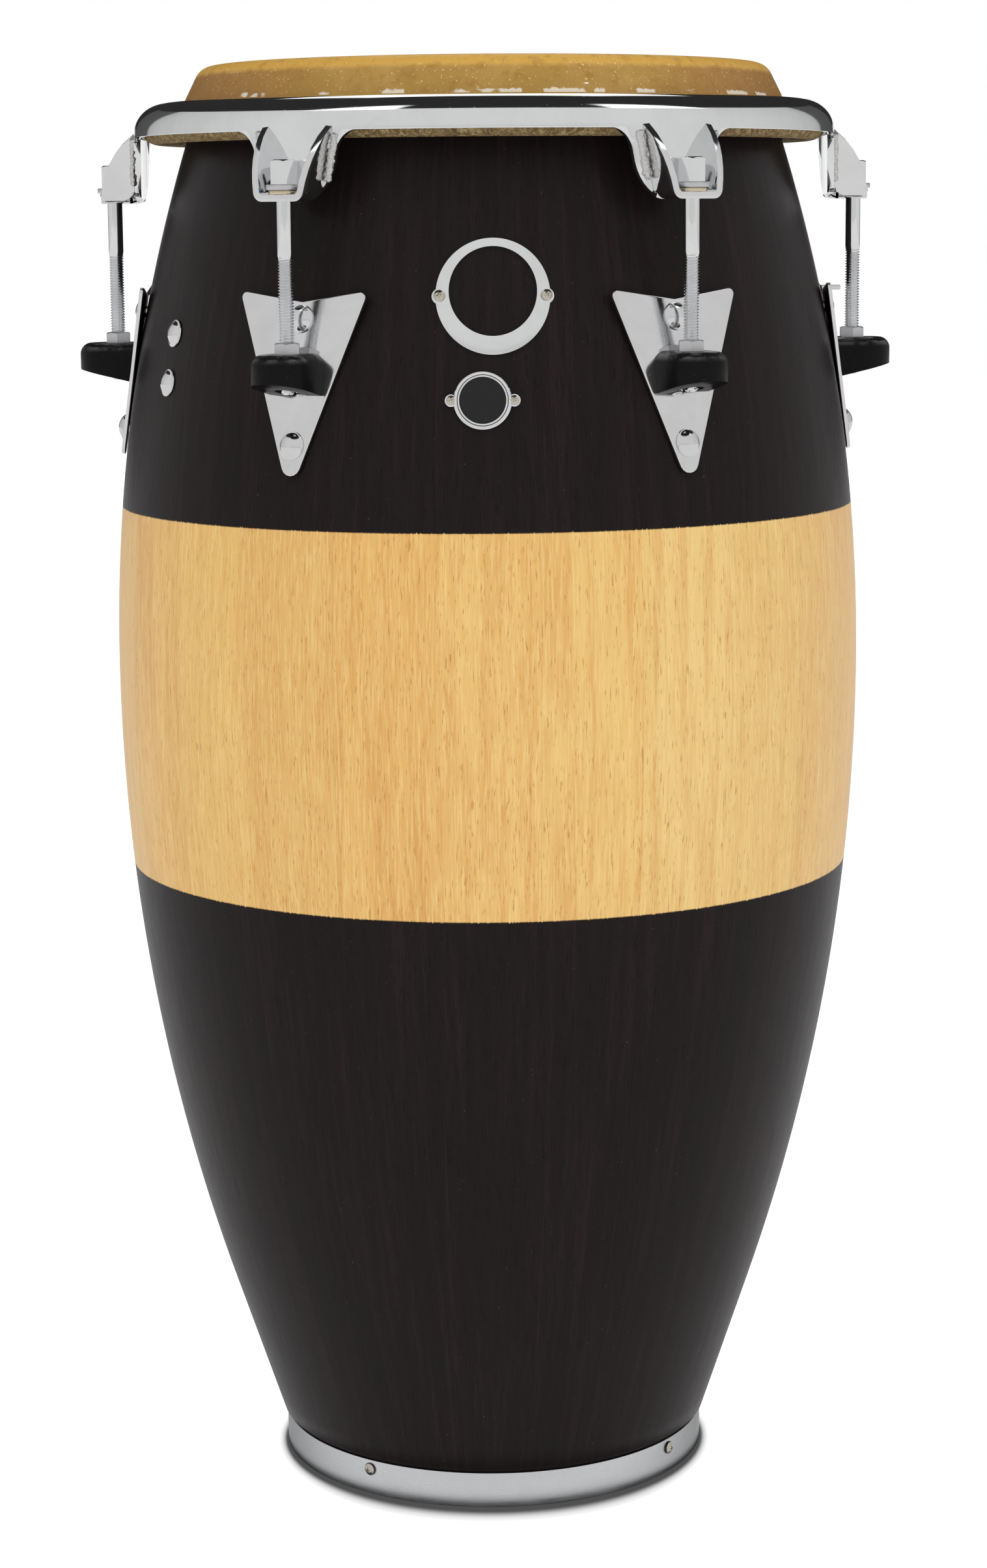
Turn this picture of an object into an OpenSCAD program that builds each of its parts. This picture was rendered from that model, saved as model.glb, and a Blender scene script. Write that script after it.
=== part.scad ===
// A conga drum: a stave-built barrel shell, a hide head drawn over its top edge by a
// round rim with six tongues, and six tuning lugs with bolts, nuts, side plates and boots.
// +Z is up, the foot of the shell stands on z = 0, and the front of the drum faces -Y.

/* [Shell] */
// Number of staves that the shell is glued up from
stave_count = 24; // [12:4:48]
// Radius of the shell at its widest
belly_r = 201; // [190:1:230]
// Height of the widest place above the floor
belly_z = 447; // [400:1:500]
// Radius of the arc that bends the shell above its widest place
upper_arc_r = 918; // [850:1:1200]
// Radius of the arc that bends the shell below its widest place
lower_arc_r = 1100; // [1000:1:1400]
// Height where the lower arc runs out into a straight foot
foot_line_z = 100; // [60:5:160]
// Thickness of the wood
wall_t = 11; // [9:0.5:14]
// Width of the glue line between two staves, in degrees
glue_angle = 0.03; // [0.02:0.01:0.06]
// Rounding of the bearing edge that the head lies on
edge_round = 4; // [2:0.5:5]

/* [Foot band] */
// How far the metal band round the foot stands back from the wood above it
band_inset = 0.9; // [0:0.1:2.5]
// Height of the foot band
band_h = 19; // [15:1:30]
// Sheet thickness of the foot band
band_t = 1.5; // [1:0.1:2]
// Number of screws that hold the foot band
band_screws = 4; // [3:1:8]
// Height of the foot band's screws above the floor
band_screw_z = 14; // [10:0.5:14]
// Angle of the first foot band screw, seen from above
band_screw_turn = 55; // [30:1:60]

/* [Head] */
// Height of the playing surface above the floor
head_z = 762; // [740:1:800]
// How far inside the shell's top edge the flat playing surface ends
head_flat_inset = 2; // [0.5:0.1:4]
// Thickness of the hide
hide_t = 1.6; // [1.2:0.1:2]
// Outer rounding of the hide's crown
crown_r = 10; // [9:0.5:11.5]
// Diameter of the steel flesh hoop
hoop_d = 10; // [8:0.1:10.5]
// Thickness of the hide rolled round the flesh hoop
roll_t = 2.95; // [2.6:0.05:3.2]

/* [Rim] */
// Distance from the rim's outer face to the middle of the tuning bolts
rim_stand = 11.5; // [11.2:0.1:12]
// Depth of the rim's lower edge below the playing surface
rim_depth = 36.8; // [35:0.1:38]
// Height of the rim's straight skirt
rim_skirt = 0.8; // [0.6:0.1:1.5]
// Radius of the rim's rounded shoulder
rim_bend_r = 16.5; // [15.5:0.1:17]
// Width of the rim's ring, from its outer to its inner edge
rim_width = 22.5; // [20.5:0.1:23]
// Least distance from the shell's top edge to the rim's inner edge
rim_room = 17; // [16:0.5:18]
// Thickness of the rim's metal
rim_t = 3.5; // [3:0.1:4]
// Half the width of a rim tongue
tongue_half_w = 25; // [22:0.5:28]
// Length of a rim tongue below the rim's lower edge
tongue_l = 34.2; // [30:0.1:37]
// Concave rounding where a tongue meets the rim's lower edge
tongue_fillet = 13; // [8:1:14]
// Rounding of a tongue's lower corners
tongue_corner = 12; // [6:0.5:13]

/* [Lug straps] */
// Thickness of the strap's metal
strap_t = 3.4; // [3:0.1:4]
// Half the outer width of the strap at its floor
strap_foot_half_w = 13.5; // [13:0.1:15]
// Half the outer width of the strap at its top
strap_top_half_w = 20; // [16:0.5:21]
// Outer rounding of the strap's lower corners
strap_corner = 5; // [4:0.5:6]
// Length of the strap beyond the middle of its bolt
strap_nose = 9.4; // [8.4:0.1:12]
// Radius of the strap's curved front edge
strap_curve_r = 44; // [40:1:50]
// Height of the strap's top above its bottom
strap_h = 36; // [33:0.5:38]
// Leg of the weld bead between strap and tongue
weld_leg = 5; // [3:0.5:5.5]

/* [Tuning bolts] */
// Number of tuning lugs
lug_count = 6; // [4:1:6]
// Angle of the first lug, counted from the right and seen from above
lug_turn = 0.6; // [-2:0.1:2]
// Distance from the shell to the middle of the tuning bolts, where the side plates touch it
bolt_stand = 10.2; // [9.8:0.1:13]
// Diameter of the bolt's plain shank
shank_d = 7.9; // [7:0.1:8.5]
// Diameter over the bolt's thread
thread_d = 7.7; // [6.8:0.1:7.8]
// Length of the bolt below its head
bolt_l = 101.65; // [99.5:0.05:103]
// Length of the bolt's thread
thread_l = 66; // [50:0.5:80]
// Width across the flats of the bolt's head
bolt_head_af = 12.7; // [11:0.1:13]
// Height of the bolt's head
bolt_head_h = 11.9; // [8:0.1:13]
// Diameter of the steel washer
steel_washer_d = 18; // [16:0.1:18.4]
// Thickness of the steel washer
steel_washer_t = 2.7; // [2:0.1:3]
// Diameter of the brass washer
brass_washer_d = 15.5; // [14:0.1:17]
// Thickness of the brass washer
brass_washer_t = 2; // [1.5:0.1:2.4]

/* [Side plates] */
// Depth of the place where a side plate touches the shell, below the playing surface
plate_depth = 160; // [155:1:165]
// Thickness of a side plate
plate_t = 2.4; // [2:0.1:3]
// Half the width of a side plate at its top corners
plate_half_w = 37.2; // [34:0.1:38]
// Distance of the top corners above the touching place, along the plate
plate_rise = 46.3; // [42:0.1:47]
// Depth of the notch in the plate's top edge
plate_notch = 5.5; // [4:0.1:6]
// Distance of the tip below the touching place, along the plate
plate_drop = 45.4; // [44:0.1:48]
// Rounding of the plate's tip
plate_tip_r = 5.5; // [4.5:0.1:6.5]
// Rounding of the plate's top corners
plate_corner_r = 2.8; // [2:0.1:4]
// Distance of the upper carriage bolt above the touching place, along the plate
upper_bolt_rise = 32.4; // [31:0.2:33]
// Distance of the lower carriage bolt below the touching place, along the plate
lower_bolt_drop = 30.4; // [28:0.2:32]
// Width of the small tab that is bent out of the right-hand plate
tab_w = 9; // [6:0.5:12]
// Length of the small tab
tab_length = 8; // [6:0.5:10]
// Height of the small tab above the notch
tab_lift = 0.6; // [0.2:0.1:2]

/* [Lug blocks] */
// Width of the moulded boot over a lug block
boot_w = 30; // [29:0.5:33]
// Length of the boot beyond the middle of the tuning bolt
boot_nose = 20.5; // [19.5:0.5:24]
// Height of the boot's top above the place where its plate touches the shell
boot_rise = 15.5; // [14:0.1:17]
// Rounding of the boot's upper edge
boot_round = 6; // [3:0.5:7]
// Depth of the boot's lower edge below the place where its plate touches the shell
boot_low = 5; // [4:0.5:7]
// Rise of the boot's lower edge from its plate to its outer end
boot_tip_rise = 6.5; // [5:0.5:8]
// Wall of the boot
boot_wall = 4; // [3.5:0.1:4.5]
// Thickness of the boot's top
boot_roof = 4.5; // [3:0.1:5]
// Thickness of the boot's sloping floor
boot_floor = 2.4; // [1.5:0.1:3]
// Width of the notch in the boot's floor, round the tip of the tuning bolt
boot_notch_w = 13; // [10:0.5:16]
// Thickness of the lug block's steel
block_t = 5; // [4:0.1:5]
// Thickness of the lug block's side cheeks
cheek_t = 2.4; // [2:0.1:3]
// Width across the flats of the captive nut
nut_af = 12; // [11:0.1:12.7]
// Height of the captive nut above the boot
nut_rise = 5.4; // [4:0.1:6.5]
// Diameter of the captive nut's shoulder
nut_shoulder_d = 15.2; // [14:0.1:15.6]
// Thickness of the captive nut's shoulder
nut_shoulder_t = 2.5; // [2:0.1:3]

/* [Carriage bolts] */
// Diameter of a carriage bolt's shank
carriage_d = 6.3; // [5:0.1:6.5]
// Diameter of a carriage bolt's domed head
carriage_head_d = 14.2; // [13:0.1:15]
// Height of a carriage bolt's domed head
carriage_head_h = 3.6; // [3:0.1:4.5]
// Diameter of the washers inside the shell
inner_washer_d = 16; // [14:0.5:18]
// Thickness of the washers inside the shell
inner_washer_t = 1.4; // [1:0.1:2]
// Width across the flats of the nuts inside the shell
inner_nut_af = 11.1; // [10:0.1:12]
// Height of the nuts inside the shell
inner_nut_h = 5.4; // [4:0.1:6]
// Angle of the two spare studs, counted from the front towards the left
stud_turn = 60; // [55:1:65]
// Height of the upper spare stud above the place where the side plates touch the shell
stud_high = 23; // [15:1:38]
// Height of the lower spare stud above the same place, below it where negative
stud_low = -2; // [-22:1:-2]

/* [Emblem and badge] */
// Distance of the emblem's middle to the right of the drum's middle
emblem_x = 3.75; // [-5:0.25:8]
// Depth of the emblem's middle below the playing surface
emblem_depth = 117; // [112:1:122]
// Outer radius of the emblem's ring
emblem_r = 28; // [24:0.5:30]
// Width of the ring at its foot
emblem_belly = 9; // [5:0.5:12]
// Width of the ring at its top
emblem_band = 4; // [3:0.5:5]
// Sheet thickness of the emblem
emblem_t = 1.5; // [1:0.1:2]
// Distance of the badge's middle to the left of the drum's middle
badge_shift = 1.6; // [0:0.1:5]
// Depth of the badge's middle below the playing surface
badge_depth = 167; // [160:1:177]
// Outer radius of the badge
badge_r = 14.2; // [12:0.1:16]
// Width of the badge's raised border
badge_border = 2.6; // [1.5:0.1:4]
// Thickness of the badge
badge_t = 1.8; // [1.2:0.1:2.5]
// Distance of a badge screw from the badge's middle
badge_screw_x = 15.4; // [14.5:0.1:18]

/* [Small screws] */
// Head diameter of the emblem's screws
emblem_screw_d = 5.7; // [4:0.1:7]
// Head diameter of the badge's screws
badge_screw_d = 5; // [4:0.1:6]
// Head diameter of the foot band's screws
band_screw_d = 9; // [7:0.1:9.5]

/* [Fits] */
// Gap between pieces that are drawn tight together
seat_gap = 0.05; // [0.02:0.01:0.1]
// Gap round a fixed shank in its hole
hole_gap = 0.15; // [0.1:0.05:0.3]
// Running clearance of the thread in the captive nut
thread_gap = 0.08; // [0.04:0.01:0.1]
// Gap between the head and the bearing edge
head_gap = 0.3; // [0.2:0.05:0.4]

/* [Hidden] */
$fn = 96;
// Facets of the long arcs that bend the shell
arc_fn = 720;
// Facets of the rings that run round the whole drum
ring_fn = 360;
// Facets of a rounded corner in an outline
corner_steps = 12;
// Facets of a rounded edge that runs round the whole drum
round_steps = 20;
// How far a tongue's fillets run up into the rim's skirt
blend_depth = 0.4;
// Overlap of a cutting tool past what it cuts
past = 1;
// The right-hand plate, which carries the small tab
tab_lug = 1;
// Reach of the tools that cut plates, straps and boots
far = 80;

shell_top_z = head_z - hide_t - head_gap;
rim_z = head_z - rim_depth;
tongue_z = rim_z - tongue_l;
plate_touch_z = head_z - plate_depth;
boot_top_z = plate_touch_z + boot_rise;
boot_low_z = plate_touch_z - boot_low;
boot_tip_z = boot_low_z + boot_tip_rise;
nut_top_z = boot_top_z + nut_rise;
stud_high_z = plate_touch_z + stud_high;
stud_low_z = plate_touch_z + stud_low;
emblem_z = head_z - emblem_depth;
badge_z = head_z - badge_depth;
foot_lean = asin((belly_z - foot_line_z) / lower_arc_r);
plate_lean = asin((plate_touch_z - belly_z) / upper_arc_r);
band_r = foot_r(band_h, 0) - band_inset;
seat_r = band_r - band_t - seat_gap;
head_flat_r = shell_r(shell_top_z) - head_flat_inset;
// The bolts stand clear of the side plates, and far enough out that the rim goes round the head.
bolt_circle_r = max(
    shell_r(plate_touch_z) + bolt_stand,
    shell_r(shell_top_z) + rim_room + rim_width + rim_stand
);
boot_reach = bolt_circle_r + boot_nose;
strap_reach = bolt_circle_r + strap_nose;
rim_r = bolt_circle_r - rim_stand;
rim_inner_r = rim_r - rim_width;
lug_step = 360 / lug_count;
stave_step = 360 / stave_count;
roll_r = hoop_d / 2 + seat_gap + roll_t;
rim_bend_c = [rim_r - rim_bend_r, rim_z + rim_skirt];
roll_c = rim_bend_c + (rim_bend_r - rim_t - seat_gap - roll_r) * unit([1, 1]);
crown_c = [head_flat_r, head_z - crown_r];
// The collar runs tight over the crown and under the roll, so it touches both on opposite sides.
collar_slope = asin((crown_r - hide_t + roll_r) / norm(roll_c - crown_c)) - angle_of(roll_c - crown_c);
strap_floor_z = tongue_z + strap_t;
brass_z = strap_floor_z + seat_gap;
steel_z = brass_z + brass_washer_t + seat_gap;
bolt_head_z = steel_z + steel_washer_t + seat_gap;
bolt_tip_z = bolt_head_z - bolt_l;
thread_top_z = bolt_tip_z + thread_l;
strap_hole_d = shank_d + 0.7;
boot_end_r = boot_reach - boot_w / 2;
block_top_z = boot_top_z - boot_roof - seat_gap;
block_w = boot_w - 2 * boot_wall - 2 * seat_gap;
block_end_r = boot_end_r;
block_low_z = boot_tip_z + boot_floor + seat_gap;
nut_shoulder_z = block_top_z - block_t - seat_gap - nut_shoulder_t;
nut_hole_gap = 0.2;
emblem_screw_x = emblem_r - emblem_band / 2;
wood_screw_d = 2.6;
wood_screw_l = 9;
band_shank_d = 4;
band_shank_l = 9;

// Radius of the shell's outer face at a height above the widest place.
function shell_r(z) = belly_r - upper_arc_r + sqrt(pow(upper_arc_r, 2) - pow(z - belly_z, 2));
// Radius of the shell's straight foot at a height, sunk into the wall by an inset.
function foot_r(z, inset) = belly_r - lower_arc_r + lower_arc_r * cos(foot_lean)
    - (foot_line_z - z) * tan(foot_lean) - inset / cos(foot_lean);
// Lean of the shell's outer face at a height above the widest place.
function shell_lean(z) = asin((z - belly_z) / upper_arc_r);
// How far the shell's face falls away from a plane that touches it, at a distance from that place.
function fall_off(d) = upper_arc_r - sqrt(pow(upper_arc_r, 2) - pow(d, 2));

// ---- Shared shapes ----

// Everything between the axis and the shell's face, sunk into the wall by an inset.
module shell_side(inset) {
    join_z = belly_z - (lower_arc_r - inset) * sin(foot_lean);
    intersection() {
        translate([belly_r - upper_arc_r, belly_z]) circle(r = upper_arc_r - inset, $fn = arc_fn);
        translate([0, belly_z]) square([2 * belly_r, shell_top_z - belly_z]);
    }
    intersection() {
        translate([belly_r - lower_arc_r, belly_z]) circle(r = lower_arc_r - inset, $fn = arc_fn);
        translate([0, join_z]) square([2 * belly_r, belly_z - join_z]);
    }
    polygon([[0, 0], [foot_r(0, inset), 0], [foot_r(join_z, inset), join_z], [0, join_z]]);
}

// A hexagonal prism with its upper corners turned off.
module hex_head(af, h, chamfer) {
    corner_r = af / 2 / cos(30);
    intersection() {
        cylinder(r = corner_r, h = h, $fn = 6);
        union() {
            cylinder(r = corner_r + past, h = h - chamfer);
            translate([0, 0, h - chamfer]) cylinder(r1 = corner_r, r2 = af / 2, h = chamfer);
        }
    }
}

// Points along an arc round a centre, between two angles.
function arc_points(centre, r, from, to, steps = corner_steps) = [
    for (i = [0:steps]) let (a = from + (to - from) * i / steps)
        centre + r * [cos(a), sin(a)]
];

// The direction of a vector, and its angle.
function unit(v) = v / norm(v);
function angle_of(v) = atan2(v[1], v[0]);

// The short way from one angle round to another.
function turn_between(from, to) = (to - from + 540) % 360 - 180;

// The points of one rounded corner, between the corners before and after it.
function rounded(before, corner, after, r) =
    let (
        back = unit(before - corner),
        ahead = unit(after - corner),
        half = acos(back * ahead) / 2,
        centre = corner + unit(back + ahead) * r / sin(half),
        from = angle_of(corner + back * r / tan(half) - centre),
        to = angle_of(corner + ahead * r / tan(half) - centre)
    )
    arc_points(centre, r, from, from + turn_between(from, to));

// A filled shape with straight sides and round corners.
module round_cornered(corners, radii) {
    n = len(corners);
    polygon([for (i = [0:n - 1]) each radii[i] == 0
        ? [corners[i]]
        : rounded(corners[(i + n - 1) % n], corners[i], corners[(i + 1) % n], radii[i])]);
}

// Places a piece at one of the lugs, with +X pointing out from the drum.
module at_lug(i) {
    rotate([0, 0, lug_turn + lug_step * (i - 1)]) children();
}

// Places a piece on the outer face of the shell, with +X pointing straight out of it.
module on_shell(turn, z) {
    rotate([0, 0, turn]) translate([shell_r(z), 0, z]) rotate([0, -shell_lean(z), 0]) children();
}

// Places a piece on the inner face of a side plate, with +X pointing out and +Z up the plate.
module on_plate(i) {
    at_lug(i) translate([shell_r(plate_touch_z) + seat_gap, 0, plate_touch_z])
        rotate([0, -plate_lean, 0]) children();
}

// Draws a shape across the drum's radius: its first axis is the tangent and its second is +Z.
module across(length) {
    rotate([90, 0, 90]) linear_extrude(height = length) children();
}

// A screw with a low rounded head, lying along X with its head's underside at x = 0.
module pan_screw(head_d, head_h, shank_d, shank_l) {
    rotate([0, 90, 0]) {
        rotate_extrude() intersection() {
            translate([0, head_h - head_d]) circle(r = head_d);
            square([head_d / 2, head_h]);
        }
        translate([0, 0, -shank_l]) cylinder(d = shank_d, h = shank_l + seat_gap);
    }
}

// ---- Shell ----

// The cut through the wall, from the foot to the rounded and bevelled bearing edge.
module shell_cut() {
    edge_z = shell_top_z - edge_round;
    edge_lean = shell_lean(edge_z);
    edge_c = [shell_r(edge_z) - edge_round / cos(edge_lean), edge_z];
    reach = 2 * wall_t;
    difference() {
        union() {
            difference() {
                shell_side(0);
                translate([seat_r, -past]) square([wall_t, band_h + past]);
            }
            polygon([
                [foot_r(0, wall_t), 0], [seat_r, 0],
                [seat_r, band_h], [foot_r(band_h, wall_t), band_h]
            ]);
        }
        difference() {
            shell_side(wall_t);
            translate([0, shell_top_z]) square([belly_r, past]);
        }
        translate(edge_c) difference() {
            polygon([
                [0, 0], reach * [cos(edge_lean), sin(edge_lean)],
                [reach, reach], [0, reach]
            ]);
            circle(r = edge_round);
        }
        translate([edge_c[0] - past, shell_top_z])
            polygon([[0, 0], [-reach, -reach], [-reach, past], [0, past]]);
    }
}

// Every hole that is drilled through the staves from outside.
module shell_holes() {
    for (i = [1:lug_count]) {
        on_plate(i) for (s = [upper_bolt_rise, -lower_bolt_drop]) {
            translate([0, 0, s]) shell_drill(carriage_d, 2 * wall_t);
        }
    }
    for (z = [stud_high_z, stud_low_z]) {
        on_shell(-90 - stud_turn, z) shell_drill(carriage_d, 2 * wall_t);
    }
    for (side = [-1, 1]) {
        emblem_screw_place(side) shell_drill(wood_screw_d, wood_screw_l + past);
        badge_place() translate([0, side * badge_screw_x, 0])
            shell_drill(wood_screw_d, wood_screw_l + past);
    }
    band_screw_places() shell_drill(band_shank_d, band_shank_l + past);
}

// One drilled hole, from outside the wall to a depth.
module shell_drill(d, depth) {
    translate([-depth, 0, 0]) rotate([0, 90, 0]) cylinder(d = d + 2 * hole_gap, h = depth + 5 * past);
}

module shell_staves() {
    color("saddlebrown") difference() {
        for (i = [0:stave_count - 1]) {
            rotate([0, 0, (i + 0.5) * stave_step + glue_angle / 2])
                rotate_extrude(angle = stave_step - glue_angle, $fn = ring_fn) shell_cut();
        }
        shell_holes();
    }
}

// ---- Foot band ----

// Places a piece on the foot band at each of its screws, with +X pointing out.
module band_screw_places() {
    for (i = [0:band_screws - 1]) {
        rotate([0, 0, -90 + band_screw_turn + i * 360 / band_screws])
            translate([band_r, 0, band_screw_z]) children();
    }
}

module base_band() {
    color("darkgray") difference() {
        cylinder(r = band_r, h = band_h, $fn = ring_fn);
        translate([0, 0, -past]) cylinder(r = band_r - band_t, h = band_h + 2 * past, $fn = ring_fn);
        band_screw_places() shell_drill(band_shank_d, band_shank_l);
    }
}

module base_screws() {
    color("silver") band_screw_places() translate([seat_gap, 0, 0])
        pan_screw(band_screw_d, 2.6, band_shank_d, band_shank_l);
}

// ---- Side plates and their carriage bolts ----

// The plate's outline: a V with a shallow notch in its top edge and a round tip.
module plate_outline() {
    tip_c = plate_tip_r - plate_drop;
    height = plate_rise - tip_c;
    side_angle = atan(plate_half_w / height) - asin(plate_tip_r / norm([plate_half_w, height]));
    round_cornered(
        [
            [-plate_half_w, plate_rise], [0, plate_rise - plate_notch],
            [plate_half_w, plate_rise], [0, tip_c - plate_tip_r / sin(side_angle)]
        ],
        [plate_corner_r, 0, plate_corner_r, plate_tip_r]
    );
}

module side_plate(i) {
    color("gainsboro") on_plate(i) {
        difference() {
            across(plate_t) plate_outline();
            for (s = [upper_bolt_rise, -lower_bolt_drop]) {
                translate([-past, 0, s]) rotate([0, 90, 0])
                    cylinder(d = carriage_d + 2 * hole_gap, h = plate_t + 2 * past);
            }
        }
        if (i == tab_lug) plate_tab();
    }
}

// The small tab that is bent level and outward from the notch of one plate.
module plate_tab() {
    root_z = plate_rise - plate_notch - plate_t;
    bend_z = root_z + plate_t + tab_lift;
    out = (plate_t + tab_length) * [cos(plate_lean), -sin(plate_lean)];
    up = plate_t * [sin(plate_lean), cos(plate_lean)];
    translate([0, tab_w / 2, 0]) rotate([90, 0, 0]) linear_extrude(height = tab_w) polygon([
        [0, root_z],
        [plate_t, root_z],
        [plate_t, bend_z - plate_t * tan(plate_lean)],
        [0, bend_z] + out,
        [0, bend_z] + out + up,
        [0, bend_z + plate_t / cos(plate_lean)]
    ]);
}

// A carriage bolt along X: its head's underside is at x = 0 and its shank ends at x = -length.
module carriage_bolt(length) {
    dome_r = (pow(carriage_head_d / 2, 2) + pow(carriage_head_h, 2)) / 2 / carriage_head_h;
    rotate([0, 90, 0]) {
        rotate_extrude() intersection() {
            translate([0, carriage_head_h - dome_r]) circle(r = dome_r);
            square([carriage_head_d, carriage_head_h]);
        }
        translate([0, 0, -length]) cylinder(d = carriage_d, h = length + seat_gap);
    }
}

// Places a piece at each plate bolt and spare stud, with x = 0 on the face that its washer lies on.
module inner_seats() {
    bow = pow(inner_washer_d / 2, 2) / shell_r(plate_touch_z);
    for (i = [1:lug_count]) {
        on_plate(i) for (s = [upper_bolt_rise, -lower_bolt_drop]) {
            translate([-wall_t - fall_off(s) - bow - seat_gap, 0, s]) children();
        }
    }
    for (z = [stud_high_z, stud_low_z]) {
        on_shell(-90 - stud_turn, z) translate([-wall_t - bow - seat_gap, 0, 0]) children();
    }
}

module carriage_bolts() {
    length = plate_t + wall_t + inner_washer_t + inner_nut_h + 3 * past;
    color("silver") for (i = [1:lug_count]) {
        on_plate(i) for (s = [upper_bolt_rise, -lower_bolt_drop]) {
            translate([plate_t + seat_gap, 0, s]) carriage_bolt(length);
        }
    }
}

module spare_studs() {
    length = wall_t + inner_washer_t + inner_nut_h + 3 * past;
    color("silver") for (z = [stud_high_z, stud_low_z]) {
        on_shell(-90 - stud_turn, z) translate([seat_gap, 0, 0]) carriage_bolt(length);
    }
}

module inner_washers() {
    color("silver") inner_seats() rotate([0, -90, 0]) difference() {
        cylinder(d = inner_washer_d, h = inner_washer_t);
        translate([0, 0, -past]) cylinder(d = carriage_d + 2 * hole_gap, h = inner_washer_t + 2 * past);
    }
}

module inner_nuts() {
    color("silver") inner_seats() translate([-inner_washer_t - seat_gap, 0, 0]) rotate([0, -90, 0])
        difference() {
            hex_head(inner_nut_af, inner_nut_h, past);
            translate([0, 0, -past]) cylinder(d = carriage_d + 2 * seat_gap, h = inner_nut_h + 2 * past);
        }
}

// ---- Lug blocks, boots and captive nuts ----

// Keeps the part of a piece that lies outside its side plate.
module outside_plate(i) {
    intersection() {
        at_lug(i) children();
        on_plate(i) translate([plate_t + seat_gap, -far, -far]) cube([far, 2 * far, 2 * far]);
    }
}

// A bar across the drum's radius with a round outer end, seen from above.
module round_ended(width, low_z, high_z) {
    inner_r = boot_end_r - far / 2;
    translate([inner_r, -width / 2, low_z]) cube([boot_end_r - inner_r, width, high_z - low_z]);
    translate([boot_end_r, 0, low_z]) rotate([0, 0, -90])
        rotate_extrude(angle = 180) square([width / 2, high_z - low_z]);
}

// Half the boot's cut, from its middle out to its side, with the upper edge rounded.
module boot_cut() {
    low_z = boot_low_z - past;
    corner = [boot_w / 2 - boot_round, boot_top_z - boot_round];
    translate([0, low_z]) square([boot_w / 2, corner[1] - low_z]);
    translate([0, low_z]) square([corner[0], boot_top_z - low_z]);
    translate(corner) intersection() {
        circle(r = boot_round);
        square(boot_round);
    }
}

module boot_body() {
    inner_r = boot_end_r - far / 2;
    translate([inner_r, 0, 0]) across(boot_end_r - inner_r) {
        boot_cut();
        mirror([1, 0]) boot_cut();
    }
    translate([boot_end_r, 0, 0]) rotate([0, 0, -90]) rotate_extrude(angle = 180) boot_cut();
}

// Everything below the boot's sloping lower face, or below a plane that is lifted above it.
module under_boot(lift = 0) {
    plate_r = shell_r(boot_low_z) + plate_t;
    slope = atan((boot_tip_z - boot_low_z) / (boot_reach - plate_r));
    translate([plate_r, -far / 2, boot_low_z + lift]) rotate([0, -slope, 0])
        translate([-far / 2, 0, -far]) cube([far, far, far]);
}

// The round-ended notch in the boot's floor, open to the plate, that the bolt's tip hangs in.
module boot_notch() {
    height = boot_tip_z + boot_floor - boot_low_z + 2 * past;
    translate([bolt_circle_r, 0, boot_low_z - past]) {
        cylinder(d = boot_notch_w, h = height);
        translate([-far / 2, -boot_notch_w / 2, 0]) cube([far / 2, boot_notch_w, height]);
    }
}

module lug_boot(i) {
    color("black") outside_plate(i) difference() {
        boot_body();
        under_boot();
        difference() {
            round_ended(boot_w - 2 * boot_wall, boot_low_z - 2 * past, boot_top_z - boot_roof);
            under_boot(boot_floor);
        }
        boot_notch();
        translate([bolt_circle_r, 0, block_top_z]) rotate([0, 0, 30])
            cylinder(d = (nut_af + 2 * nut_hole_gap) / cos(30), h = boot_roof + 2 * past, $fn = 6);
    }
}

module lug_block(i) {
    color("silver") outside_plate(i) difference() {
        round_ended(block_w, block_low_z, block_top_z);
        translate([-past, 0, 0])
            round_ended(block_w - 2 * cheek_t, block_low_z - past, block_top_z - block_t);
        translate([block_end_r, -far / 2, block_low_z - past])
            cube([far, far, block_top_z - block_t - block_low_z + past]);
        translate([bolt_circle_r, 0, boot_low_z]) rotate([0, 0, 30])
            cylinder(d = (nut_af + 2 * hole_gap) / cos(30), h = far, $fn = 6);
    }
}

module captive_nuts() {
    color("silver") for (i = [1:lug_count]) {
        at_lug(i) translate([bolt_circle_r, 0, nut_shoulder_z]) difference() {
            union() {
                cylinder(d = nut_shoulder_d, h = nut_shoulder_t);
                rotate([0, 0, 30]) hex_head(nut_af, nut_top_z - nut_shoulder_z, past);
            }
            translate([0, 0, -past])
                cylinder(d = thread_d + 2 * thread_gap, h = nut_top_z - nut_shoulder_z + 2 * past);
        }
    }
}

// ---- Emblem and badge ----

// Places a piece on the shell at one of the emblem's screws, with +X pointing out.
module emblem_screw_place(side) {
    z = emblem_z;
    turn = asin((emblem_x + side * emblem_screw_x) / shell_r(z));
    on_shell(-90 + turn, z) children();
}

// Places a piece on the shell at the badge, with +X pointing out and +Y to the right.
module badge_place() {
    on_shell(-90 - asin(badge_shift / shell_r(badge_z)), badge_z) children();
}

// The emblem's outline: a plain ring that is broader below, with an ear for each screw.
module emblem_outline() {
    hollow_r = (2 * emblem_r - emblem_belly - emblem_band) / 2;
    difference() {
        circle(r = emblem_r);
        translate([0, emblem_belly + hollow_r - emblem_r]) circle(r = hollow_r);
    }
    for (side = [-1, 1]) translate([side * emblem_screw_x, 0]) circle(d = emblem_screw_d + 2);
}

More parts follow.
